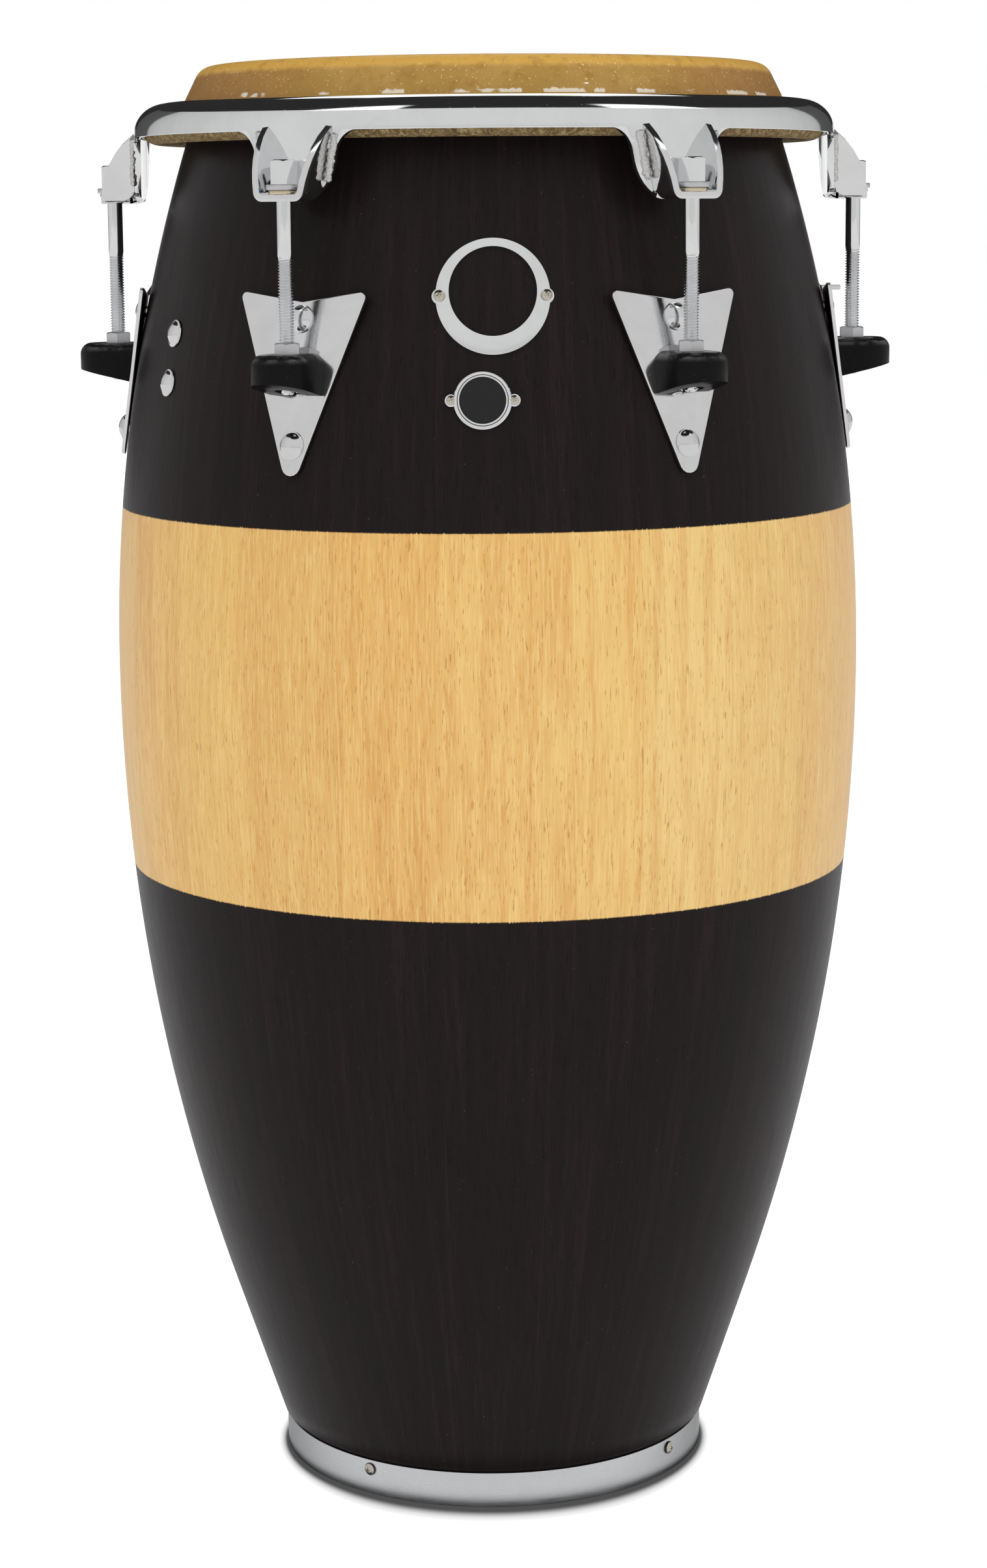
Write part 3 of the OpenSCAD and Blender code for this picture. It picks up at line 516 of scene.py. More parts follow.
    def dress(self, r: Recipe, shader: Node) -> None:
        """Adds grain, pores, stave tones and the two stain edges.

        Args:
            r: The recipe.
            shader: Its shader.
        """
        wood = r.add("ShaderNodeGroup", node_tree=Effects.stave_grain())
        fine, pores = wood.outputs["Fine"], wood.outputs["Pores"]
        stained = self.stained(r, wood)
        colour = r.blend(stained, self.clear_wood(r, wood), self.dark_stain(r, wood))
        joint = r.sum("MULTIPLY", wood.outputs["Joint"], self.joint_share)
        r.feed(shader.inputs["Base Color"], r.blend(joint, colour, self.joint_tint, "MULTIPLY"))
        r.feed(shader.inputs["Specular IOR Level"], r.ease(stained, 0.0, 1.0, self.shine, self.stain_shine))
        r.feed(shader.inputs["Roughness"], r.ease(fine, 0.3, 0.7, self.rough - 0.03, self.rough + 0.05))
        relief = r.sum("MULTIPLY_ADD", pores, -1.0, r.sum("MULTIPLY", fine, 0.5))
        r.feed(shader.inputs["Normal"], r.bump(relief, 0.10, 0.0002))


@dataclass(frozen=True)
class Rawhide(Finish):
    """Amber rawhide, mottled and flecked, with scuffs where the head has rubbed the rim, a painted highlight on
    its top and painted shade on its left and right sides.
    """

    pale: tuple = (0.46, 0.275, 0.070)
    deep: tuple = (0.25, 0.110, 0.018)
    # Painted shade: the darker, redder colour of the head's left and right sides.
    side_shade_tone: tuple = (0.27, 0.115, 0.016)
    # Painted highlight: the lighter colour of the crown and flat top, which face up to the light.
    crown: tuple = (0.60, 0.345, 0.062)
    fleck: tuple = (0.80, 0.62, 0.30)
    rubbed: tuple = (0.80, 0.74, 0.62)
    # Heights where the painted highlight on the top begins and is full.
    crown_highlight_from: float = 0.7565
    crown_highlight_full: float = 0.7595
    rub_full: float = 0.7459
    rub_end: float = 0.7466
    scuffs: tuple = ()

    def scuff(self, r: Recipe, spot: object, place: tuple, size: float) -> Socket:
        """A ragged patch that lies flat along the rim.

        Args:
            r: The material's recipe.
            spot: The coordinates' socket.
            place: The patch's middle, in metres.
            size: Its rough radius, in metres.

        Returns:
            The mask's socket.
        """
        squash = 2.2
        far = r.vector("DISTANCE", r.scaled(spot, (1.0, 1.0, squash)), (place[0], place[1], place[2] * squash))
        ragged = r.sum("MULTIPLY_ADD", r.grain(spot, 260, 3, 0.7), size * 1.5, far.outputs["Value"])
        return r.ease(ragged, size * 1.15, size * 1.6, 0.85, 0.0)

    def dress(self, r: Recipe, shader: Node) -> None:
        """Adds mottling, flecks and scuffs, a painted highlight on the top and painted shade on the left and right
        sides.

        Args:
            r: The recipe.
            shader: Its shader.
        """
        spot = r.object_place()
        height = r.part(spot, 2)
        clouds = r.grain(spot, 22, 4, 0.6, distortion=0.5)
        fine = r.grain(spot, 150, 4, 0.65)
        tone = r.blend(r.ease(clouds, 0.38, 0.66), self.colour, self.pale)
        # Painted shade: the head grows darker and redder towards its left and right sides.
        side = r.sum("ABSOLUTE", r.part(spot, 0))
        tone = r.blend(r.ease(side, 0.07, 0.13, 0.0, 0.75), tone, self.side_shade_tone)
        # Painted highlight: the head is lighter on its crown and flat top, which face up to the light.
        crown = r.sum("MULTIPLY_ADD", r.grain(spot, 130, 3, 0.7), 0.003, height)
        tone = r.blend(r.ease(crown, self.crown_highlight_from, self.crown_highlight_full, 0.0, 0.85), tone, self.crown)
        tone = r.blend(r.ease(fine, 0.50, 0.72, 0.0, 0.45), tone, self.deep)
        flecks = r.ease(r.grain(spot, 900, 2, 0.4), 0.66, 0.74)
        tone = r.blend(r.sum("MULTIPLY", flecks, 0.75), tone, self.fleck)
        ring = r.ease(r.grain(r.scaled(spot, (1.0, 1.0, 0.2)), 48, 2, 0.5), 0.55, 0.58)
        rub_top = r.sum("MULTIPLY_ADD", r.grain(spot, 330, 2, 0.5), 0.003, height)
        ring = r.sum("MULTIPLY", ring, r.ease(rub_top, self.rub_full, self.rub_end, 0.8, 0.0))
        for mask in [ring] + [self.scuff(r, spot, place, size) for place, size in self.scuffs]:
            tone = r.blend(mask, tone, self.rubbed)
        r.feed(shader.inputs["Base Color"], tone)
        r.feed(shader.inputs["Roughness"], r.ease(fine, 0.3, 0.7, self.rough - 0.06, self.rough + 0.10))
        r.feed(shader.inputs["Normal"], r.bump(r.sum("ADD", fine, clouds), 0.25, 0.0006))


@dataclass(frozen=True)
class SkinRoll(Finish):
    """The fuzzy roll of skin round the flesh hoop."""

    hair: tuple = (0.42, 0.31, 0.16)
    hollow: tuple = (0.075, 0.048, 0.024)

    def dress(self, r: Recipe, shader: Node) -> None:
        """Adds fibres and lumps.

        Args:
            r: The recipe.
            shader: Its shader.
        """
        spot = r.object_place()
        fibre = r.grain(r.scaled(spot, (1.0, 1.0, 0.4)), 420, 4, 0.7, distortion=1.2)
        lumps = r.grain(spot, 90, 3, 0.6)
        tone = r.blend(r.ease(fibre, 0.40, 0.70), self.colour, self.hair)
        tone = r.blend(r.ease(lumps, 0.5, 0.75, 0.0, 0.6), tone, self.hollow)
        r.feed(shader.inputs["Base Color"], tone)
        r.feed(shader.inputs["Normal"], r.bump(r.sum("ADD", fibre, lumps), 0.8, 0.0012))


@dataclass(frozen=True)
class BootPlastic(Finish):
    """Black moulded plastic, rubbed shiny and uneven on its upper edges."""

    rub_low: float = 0.6125
    rub_high: float = 0.616
    dust: tuple = (0.12, 0.11, 0.10)

    def dress(self, r: Recipe, shader: Node) -> None:
        """Adds moulding texture, dust and rubbed edges.

        Args:
            r: The recipe.
            shader: Its shader.
        """
        marks = r.add("ShaderNodeGroup", {"Size": 1.6}, node_tree=Effects.handling())
        spot = r.object_place()
        fine = r.grain(spot, 1500, 2, 0.5)
        peel = r.grain(spot, 520, 3, 0.6)
        worn = r.ease(r.grain(spot, 90, 3, 0.6), 0.40, 0.60)
        rubbed = r.sum("MULTIPLY", r.ease(r.part(spot, 2), self.rub_low, self.rub_high), worn)
        rough = r.sum("MULTIPLY_ADD", marks.outputs["Smudge"], -0.08, self.rough)
        rough = r.sum("MULTIPLY_ADD", rubbed, -0.20, rough)
        r.feed(shader.inputs["Roughness"], r.sum("MULTIPLY_ADD", marks.outputs["Scratches"], 0.12, rough))
        r.feed(shader.inputs["Specular IOR Level"], r.sum("MULTIPLY_ADD", rubbed, 1.2, self.shine))
        dusty = r.sum("MULTIPLY", marks.outputs["Dust"], 0.22)
        r.feed(shader.inputs["Base Color"], r.blend(dusty, self.colour, self.dust))
        skin = r.sum("MULTIPLY_ADD", r.sum("MULTIPLY", peel, rubbed), 3.0, fine)
        r.feed(shader.inputs["Normal"], r.bump(skin, 0.22, 0.0003))


@dataclass(frozen=True)
class WeldMetal(Finish):
    """Lumpy plated weld."""

    metal: float = 1.0
    raised: tuple = (0.75, 0.74, 0.72)

    def dress(self, r: Recipe, shader: Node) -> None:
        """Adds a rough skin.

        Args:
            r: The recipe.
            shader: Its shader.
        """
        grit = r.grain(r.object_place(), 900, 4, 0.7)
        r.feed(shader.inputs["Base Color"], r.blend(r.ease(grit, 0.35, 0.65), self.raised, self.colour))
        r.feed(shader.inputs["Roughness"], r.ease(grit, 0.3, 0.7, self.rough - 0.1, self.rough + 0.15))
        r.feed(shader.inputs["Normal"], r.bump(grit, 0.6, 0.0008))


WOOD = StainedStaves("stained_staves", colour=(0.72, 0.45, 0.16), rough=0.33, shine=0.34)
HIDE = Rawhide("scuffed_rawhide", colour=(0.36, 0.205, 0.036), rough=0.45)
ROLL = SkinRoll("skin_roll", colour=(0.13, 0.085, 0.035), rough=0.85, shine=0.1)
CHROME = Metal("polished_chrome", colour=(0.87, 0.875, 0.88), rough=0.035, smudge=0.05)
PLATE = Metal("plated_side_steel", colour=(0.80, 0.80, 0.805), rough=0.075, smudge=0.07, ripple=0.06)
STRAP = Metal("strap_chrome", colour=(0.80, 0.80, 0.805), rough=0.06, smudge=0.10, ripple=0.16)
THREAD = Metal("bright_thread", colour=(0.78, 0.785, 0.80), rough=0.16, smudge=0.10)
ZINC = Metal("zinc_steel", colour=(0.62, 0.62, 0.63), rough=0.22, smudge=0.12)
NICKEL = Metal("nickel_screws", colour=(0.62, 0.58, 0.50), rough=0.14, smudge=0.10)
WASHER = Metal("dark_washers", colour=(0.085, 0.085, 0.09), rough=0.30, smudge=0.10)
BRASS = Metal("brass_washers", colour=(0.74, 0.64, 0.46), rough=0.14, smudge=0.12)
BAND = BrushedBand("foot_band_steel", colour=(0.72, 0.73, 0.745), rough=0.28)
BOOT = BootPlastic("boot_plastic", colour=(0.004, 0.004, 0.0043), rough=0.42, shine=0.10)
BADGE = BootPlastic("badge_field", colour=(0.008, 0.008, 0.009), rough=0.25, shine=0.3)
WELD = WeldMetal("weld_metal", colour=(0.66, 0.655, 0.64), rough=0.20)


# ---- Mesh tools ----


class Bench:
    """Tools that shape meshes in millimetres and turn them into finished pieces."""

    @staticmethod
    def spun(points: Sequence[tuple], steps: int, closed: bool = False, climb: float = 0.0) -> BMesh:
        """Spins a chain of points a full turn round the Z axis.

        Args:
            points: (radius, height) points.
            steps: Steps in the turn.
            closed: Whether the last point joins the first.
            climb: How far the turn climbs, for a thread.

        Returns:
            The mesh, with its doubles still in it.
        """
        bm = bmesh.new()
        verts = [bm.verts.new((r, 0.0, z)) for r, z in points]
        edges = [bm.edges.new(pair) for pair in zip(verts, verts[1:])]
        if closed:
            edges.append(bm.edges.new((verts[-1], verts[0])))
        bmesh.ops.spin(bm, geom=verts + edges, cent=(0, 0, 0), axis=(0, 0, 1), dvec=(0, 0, climb / steps),
                       angle=FULL_TURN, steps=steps, use_merge=not climb, use_duplicate=False)
        return bm

    @staticmethod
    def lathe(profile: Sequence[tuple], steps: int, closed: bool = False) -> BMesh:
        """Spins a profile round the Z axis.

        Args:
            profile: (radius, height) points.
            steps: Steps in a full turn.
            closed: Whether the last point joins the first.

        Returns:
            The closed mesh.
        """
        bm = Bench.spun(profile, steps, closed)
        bmesh.ops.remove_doubles(bm, verts=bm.verts, dist=1e-4)
        bmesh.ops.recalc_face_normals(bm, faces=bm.faces)
        return bm

    @staticmethod
    def panel(outline: Sequence[tuple], across: Iterable[float] = (),
              up: Iterable[float] = ()) -> BMesh:
        """A flat sheet in the XZ plane, cut into cells so that it can be bent.

        Args:
            outline: (x, z) points round the sheet.
            across: Places along X where it is cut.
            up: Places along Z where it is cut.

        Returns:
            The sheet's mesh.
        """
        bm = bmesh.new()
        bm.faces.new([bm.verts.new((x, 0.0, z)) for x, z in outline])
        cuts = [((x, 0, 0), (1, 0, 0)) for x in across] + [((0, 0, z), (0, 0, 1)) for z in up]
        for place, normal in cuts:
            bmesh.ops.bisect_plane(bm, geom=bm.verts[:] + bm.edges[:] + bm.faces[:], dist=1e-5,
                                   plane_co=place, plane_no=normal)
        return bm

    @staticmethod
    def thicken(bm: BMesh, move: Vector) -> None:
        """Pulls a flat sheet into a closed slab.

        Args:
            bm: The mesh.
            move: How far its copy goes.
        """
        made = bmesh.ops.extrude_face_region(bm, geom=bm.faces[:], use_keep_orig=True)
        bmesh.ops.translate(bm, verts=[v for v in made["geom"] if isinstance(v, bmesh.types.BMVert)], vec=move)
        bmesh.ops.recalc_face_normals(bm, faces=bm.faces)

    @staticmethod
    def soften(bm: BMesh, width: float, segments: int, angle: float = 40.0) -> None:
        """Bevels edges sharper than an angle in degrees.

        Args:
            bm: The mesh.
            width: The bevel's offset.
            segments: Its steps.
            angle: How sharp an edge is, in degrees.
        """
        sharp = [e for e in bm.edges if e.is_manifold and e.calc_face_angle(0.0) > math.radians(angle)]
        bmesh.ops.bevel(bm, geom=sharp, offset=width, segments=segments, profile=0.5, affect="EDGES",
                        material=-1, clamp_overlap=True)

    @staticmethod
    def arc(centre: tuple, radius: float, start: float, end: float, steps: int) -> list:
        """An arc. Args: centre, radius, start and end in degrees, steps. Returns: its points."""
        turns = [math.radians(start + (end - start) * k / steps) for k in range(steps + 1)]
        return [(centre[0] + radius * math.cos(t), centre[1] + radius * math.sin(t)) for t in turns]

    @staticmethod
    def rounded(corners: Sequence[tuple], radii: Sequence[float], steps: int = 6) -> list:
        """An outline with its corners rounded.

        Args:
            corners: The corner points in order.
            radii: A radius for each corner.
            steps: Steps in each arc.

        Returns:
            The outline's points.
        """
        out = []
        count = len(corners)
        for k in range(count):
            here, before, after = Vector(corners[k]), Vector(corners[k - 1]), Vector(corners[(k + 1) % count])
            if radii[k] <= 0:
                out.append(tuple(here))
                continue
            a, b = (before - here).normalized(), (after - here).normalized()
            half = a.angle(b) / 2
            middle = here + (a + b).normalized() * radii[k] / math.sin(half)
            start, end = (here + way * radii[k] / math.tan(half) - middle for way in (a, b))
            low = math.atan2(start.y, start.x)
            sweep = (math.atan2(end.y, end.x) - low + math.pi) % FULL_TURN - math.pi
            out += [(middle.x + radii[k] * math.cos(low + sweep * s / steps),
                     middle.y + radii[k] * math.sin(low + sweep * s / steps)) for s in range(steps + 1)]
        return out

    @staticmethod
    def join(target: BMesh, piece: BMesh, place: Matrix = Matrix.Identity(4),
             keep: bool = False) -> None:
        """Adds a placed copy of one mesh to another.

        Args:
            target: The mesh that grows.
            piece: The mesh that is copied, and used up unless it is kept.
            place: Where the copy goes.
            keep: Whether the piece is needed again.
        """
        scrap = bpy.data.meshes.new("scrap")
        piece.to_mesh(scrap)
        scrap.transform(place)
        target.from_mesh(scrap)
        bpy.data.meshes.remove(scrap)
        if not keep:
            piece.free()

    @staticmethod
    def rows_out(bm: BMesh, edges: list) -> tuple:
        """Extrudes a row of edges.

        Args:
            bm: The mesh.
            edges: The row.

        Returns:
            The new row's edges and its vertices.
        """
        made = bmesh.ops.extrude_edge_only(bm, edges=edges)["geom"]
        row = [g for g in made if isinstance(g, BMEdge) and all(v in made for v in g.verts)]
        return row, {v for e in row for v in e.verts}

    @staticmethod
    def trim(bm: BMesh, place: object, normal: tuple) -> None:
        """Cuts off what lies past a plane and closes the cut.

        Args:
            bm: The mesh.
            place: A point on the plane.
            normal: The side that goes.
        """
        geom = bm.verts[:] + bm.edges[:] + bm.faces[:]
        cut = bmesh.ops.bisect_plane(bm, geom=geom, dist=1e-4, plane_co=place, plane_no=normal, clear_outer=True)
        bmesh.ops.contextual_create(bm, geom=[g for g in cut["geom_cut"] if isinstance(g, BMEdge)])

    @staticmethod
    def tint(bm: BMesh, number: int) -> BMesh:
        """Gives every face a material number.

        Args:
            bm: The mesh.
            number: The number.

        Returns:
            The same mesh.
        """
        for face in bm.faces:
            face.material_index = number
        return bm

    @staticmethod
    def upright(bm: BMesh, axis: int) -> None:
        """Turns a mesh right side out, so that its farthest face along an axis looks that way.

        Args:
            bm: The mesh.
            axis: 0, 1 or 2.
        """
        probe = max(bm.faces, key=lambda f: f.calc_center_median()[axis])
        if probe.normal[axis] < 0:
            bmesh.ops.reverse_faces(bm, faces=bm.faces)

    @staticmethod
    def scrap(bm: BMesh) -> Object:
        """Turns a mesh into an object for a cut.

        Args:
            bm: The mesh, which is used up.

        Returns:
            The object.
        """
        mesh = bpy.data.meshes.new("scrap")
        bm.to_mesh(mesh)
        bm.free()
        obj = bpy.data.objects.new("scrap", mesh)
        bpy.context.scene.collection.objects.link(obj)
        return obj

    @staticmethod
    def reclaim(obj: Object) -> BMesh:
        """Takes the mesh back from an object and removes the object.

        Args:
            obj: The object.

        Returns:
            The mesh.
        """
        out = bmesh.new()
        out.from_mesh(obj.data)
        mesh = obj.data
        bpy.data.objects.remove(obj)
        bpy.data.meshes.remove(mesh)
        return out

    @staticmethod
    def cut(bm: BMesh, tools: Sequence[BMesh]) -> BMesh:
        """Cuts closed meshes out of another.

        Args:
            bm: The mesh that is cut, which is used up.
            tools: The meshes that cut it, which are used up.

        Returns:
            The result's mesh.
        """
        base = Bench.scrap(bm)
        knives = [Bench.scrap(tool) for tool in tools]
        for knife in knives:
            modifier = base.modifiers.new("cut", "BOOLEAN")
            modifier.object, modifier.operation, modifier.solver = knife, "DIFFERENCE", "EXACT"
            modifier.use_self = True
        Bench.settle(base)
        for knife in knives:
            Bench.reclaim(knife).free()
        return Bench.reclaim(base)

    @staticmethod
    def hexagon(af: float, height: float, chamfer: float, rings: int = 12) -> BMesh:
        """A hexagon's solid with its upper corners cut by a cone.

        Args:
            af: Size across flats.
            height: Its height.
            chamfer: How far the cone reaches in from the flats.
            rings: Steps in each sixth of a turn.

        Returns:
            The closed mesh, standing on z = 0 with a flat facing +X turned by 30 degrees.
        """
        steps = 6 * rings
        round_r = af / 2 - chamfer
        side = [(af / 2, 0), (af / 2, height * 0.5), (af / 2, height)]
        bm = Bench.lathe([(0, 0), *side, (round_r, height), (0, height)], steps)
        for v in bm.verts:
            r = math.hypot(v.co.x, v.co.y)
            if r < af / 2 - 1e-3:
                continue
            turn = math.atan2(v.co.y, v.co.x)
            off = (turn + math.pi / 6) % (math.pi / 3) - math.pi / 6
            edge = af / 2 / math.cos(off)
            v.co.x, v.co.y = edge * math.cos(turn), edge * math.sin(turn)
            if v.co.z > height * 0.9:
                v.co.z = height - (edge - round_r) * math.tan(math.radians(30))
        return bm

    @staticmethod
    def settle(obj: Object) -> None:
        """Applies an object's modifiers to its mesh.

        Args:
            obj: The object.
        """
        bpy.context.view_layer.update()
        graph = bpy.context.evaluated_depsgraph_get()
        done = bpy.data.meshes.new_from_object(obj.evaluated_get(graph))
        obj.modifiers.clear()
        old, obj.data = obj.data, done
        bpy.data.meshes.remove(old)

    @staticmethod
    def piece(bm: BMesh, name: str, finishes: Sequence[Finish], slot: Slot, body: Body,
              stands_for: Sequence[str] = (), wall: float = 0.0, edge: float = 0.0, segments: int = 3,
              outward: bool = False, smooth: float = 35.0) -> Object:
        """Turns a mesh in millimetres into a finished object.

        Args:
            bm: The mesh, which is used up.
            name: The object's name.
            finishes: Its finishes, in the order of the faces' material numbers.
            slot: The record's material slot, not used.
            body: The CAD body that it rides on.
            stands_for: The CAD nodes that it replaces.
            wall: A thickness for an open sheet, or 0.
            edge: A bevel's width, or 0.
            segments: The bevel's steps.
            outward: Whether the wall grows along the normals.
            smooth: Edges sharper than this stay crisp, in degrees.

        Returns:
            The finished object.
        """
        bmesh.ops.scale(bm, vec=(MM, MM, MM), verts=bm.verts)
        mesh = bpy.data.meshes.new(name)
        bm.to_mesh(mesh)
        bm.free()
        obj = bpy.data.objects.new(name, mesh)
        bpy.context.scene.collection.objects.link(obj)
        for finish in finishes:
            mesh.materials.append(finish.make())
        if wall:
            solid = obj.modifiers.new("wall", "SOLIDIFY")
            solid.thickness, solid.offset, solid.use_even_offset = wall * MM, 1.0 if outward else -1.0, True
        if edge:
            bevel = obj.modifiers.new("edge", "BEVEL")
            bevel.width, bevel.segments, bevel.limit_method = edge * MM, segments, "ANGLE"
            bevel.angle_limit = math.radians(40)
            bevel.harden_normals = False
        if wall or edge:
            Bench.settle(obj)
        obj.data.shade_smooth()
        obj.data.set_sharp_from_angle(angle=math.radians(smooth))
        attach(obj, body.value)
        if stands_for:
            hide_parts(*stands_for)
        log.info("%s: %d faces on %s", name, len(obj.data.polygons), body.value)
        return obj


def lug_turn(lug: int) -> Matrix:
    """The turn that takes a piece from +X to a lug. Args: lug. Returns: the matrix."""
    return Matrix.Rotation(math.radians(LUG_START + 360 / LUGS * (lug - 1)), 4, "Z")


def reshape(bm: BMesh, bend: Callable[[Vector], Vector]) -> None:
    """Moves each vertex of a mesh by a rule.

    Args:
        bm: The mesh.
        bend: Gives a vertex's new place.
    """
    for v in bm.verts:
        v.co = bend(v.co)
    bmesh.ops.remove_doubles(bm, verts=bm.verts, dist=1e-3)
    bmesh.ops.recalc_face_normals(bm, faces=bm.faces)


# ---- Shell ----


@dataclass
class Shell:
    """The barrel of staves and the steel band round its foot."""

    belly_r: float = 201.0
    belly_z: float = 447.0
    upper_arc: float = 918.0
    lower_arc: float = 1100.0
    foot_line: float = 100.0
    wall: float = 11.0
    top_z: float = 760.1
    edge_round: float = 4.0
    seat_r: float = 115.46
    band_r: float = 117.0
    band_h: float = 19.0
    band_t: float = 1.5
    steps: int = 144

    def radius(self, z: float, inset: float = 0.0) -> float:
        """The shell's radius at a height.

        Args:
            z: The height.
            inset: How far inside the outer face.

        Returns:
            The radius.
        """
        if z >= self.belly_z:
            arc = self.upper_arc - inset
            return self.belly_r - self.upper_arc + math.sqrt(arc * arc - (z - self.belly_z) ** 2)
        lean = math.asin((self.belly_z - self.foot_line) / self.lower_arc)
        if z >= self.foot_line - inset * math.sin(lean):
            arc = self.lower_arc - inset
            return self.belly_r - self.lower_arc + math.sqrt(arc * arc - (z - self.belly_z) ** 2)
        fall = (self.foot_line - z) * math.tan(lean) + inset / math.cos(lean)
        return self.belly_r - self.lower_arc + self.lower_arc * math.cos(lean) - fall

    def lean(self, z: float) -> float:
        """How far the upper shell leans in at a height, in radians. Args: z. Returns: the angle."""
        return math.asin((z - self.belly_z) / self.upper_arc)

    def on_shell(self, turn: float, z: float) -> Matrix:
        """A place on the shell, with +X pointing out.

        Args:
            turn: Degrees from +X.
            z: The height.

        Returns:
            Its matrix.
        """
        spin = Matrix.Rotation(math.radians(turn), 4, "Z")
        seat = Matrix.Translation((self.radius(z), 0, z)) @ Matrix.Rotation(-self.lean(z), 4, "Y")
        return spin @ seat

    def staves(self) -> Object:
        """Makes the barrel.

        Returns:
            Its object.
        """
        edge_z = self.top_z - self.edge_round
        lean = self.lean(edge_z)
        middle = (self.radius(edge_z) - self.edge_round / math.cos(lean), edge_z)
        outer = [(self.radius(z), z) for z in [self.band_h] + [k * 11.0 for k in range(2, 69)]]
        outer = [(self.seat_r, 0.2), (self.seat_r, self.band_h)] + outer[1:]
        crown = Bench.arc(middle, self.edge_round, math.degrees(lean), 90, 6)
        bevel_low = middle[1] - 9.0
        inner = [(self.radius(z, self.wall), z) for z in [bevel_low - 4] + [740 - k * 20.0 for k in range(36)]]
        inner = [(middle[0] - 3.0, self.top_z - 0.2)] + inner[1:] + [(self.radius(0.0, self.wall), 0.2)]
        low = [(self.seat_r - 0.3, 0.0), (self.radius(0.0, self.wall) + 0.3, 0.0)]
        bm = Bench.lathe(outer + crown + inner + low[::-1], self.steps, closed=True)
        return Bench.piece(bm, "stave_shell", [WOOD], Slot.WOOD, Body.SHELL, ["shell_staves"])

    def band(self) -> Object:
        """Makes the foot band.

        Returns:
            Its object.
        """
        r, t, h = self.band_r, self.band_t, self.band_h
        lip = [(r, h - 0.5), (r - 0.15, h - 0.15), (r - 0.5, h)]
        profile = [(r - t, 0.0), (r - 0.3, 0.0), (r, 0.3), *lip, (r - t, h)]
        bm = Bench.lathe(profile, self.steps, closed=True)
        return Bench.piece(bm, "foot_band", [BAND], Slot.BAND, Body.SHELL, ["base_band"])

    def build(self) -> list:
        """Makes every piece of the shell. Returns: the objects."""
        return [self.staves(), self.band()]


# ---- Screws ----


@dataclass
class CrossScrew:
    """A low rounded screw head with a cross recess, lying along +X with its underside at x = 0."""

    head_d: float = 9.0
    head_h: float = 2.6
    shank_d: float = 3.5
    shank_l: float = 10.0
    turn: float = 20.0

    def mesh(self) -> BMesh:
        """Makes the screw.

        Returns:
            Its mesh.
        """
        r, h = self.head_d / 2, self.head_h
        dome = (r * r + h * h) / (2 * h) * 0.98
        low = [(0, -self.shank_l), (self.shank_d / 2, -self.shank_l + 1), (self.shank_d / 2, 0), (r - 0.15, 0)]
        top = []
        for k in range(7):
            x = r * (1 - k / 7.0)
            top.append((x, min(h, 0.35 + math.sqrt(max(dome * dome - x * x, 0)) - dome + h - 0.35) if k else 0.35))
        bm = Bench.lathe(low + top + [(0, h)], 32)
        cutter = bmesh.new()
        for turn in (0, 90):
            spin = Matrix.Rotation(math.radians(self.turn + turn), 4, "Z")
            made = bmesh.ops.create_cube(cutter, size=1.0)["verts"]
            for v in made:
                deep = v.co.z < 0
                v.co.x *= r * (0.5 if deep else 1.16)
                v.co.y *= r * (0.13 if deep else 0.22)
                v.co.z = h * 0.30 if deep else h * 1.4
            bmesh.ops.transform(cutter, matrix=spin, verts=made)
        bmesh.ops.recalc_face_normals(cutter, faces=cutter.faces)
        out = Bench.cut(bm, [cutter])
        bmesh.ops.rotate(out, cent=(0, 0, 0), matrix=Matrix.Rotation(math.pi / 2, 3, "Y"), verts=out.verts)
        return out


# ---- Side plates, boots, blocks and captive nuts ----


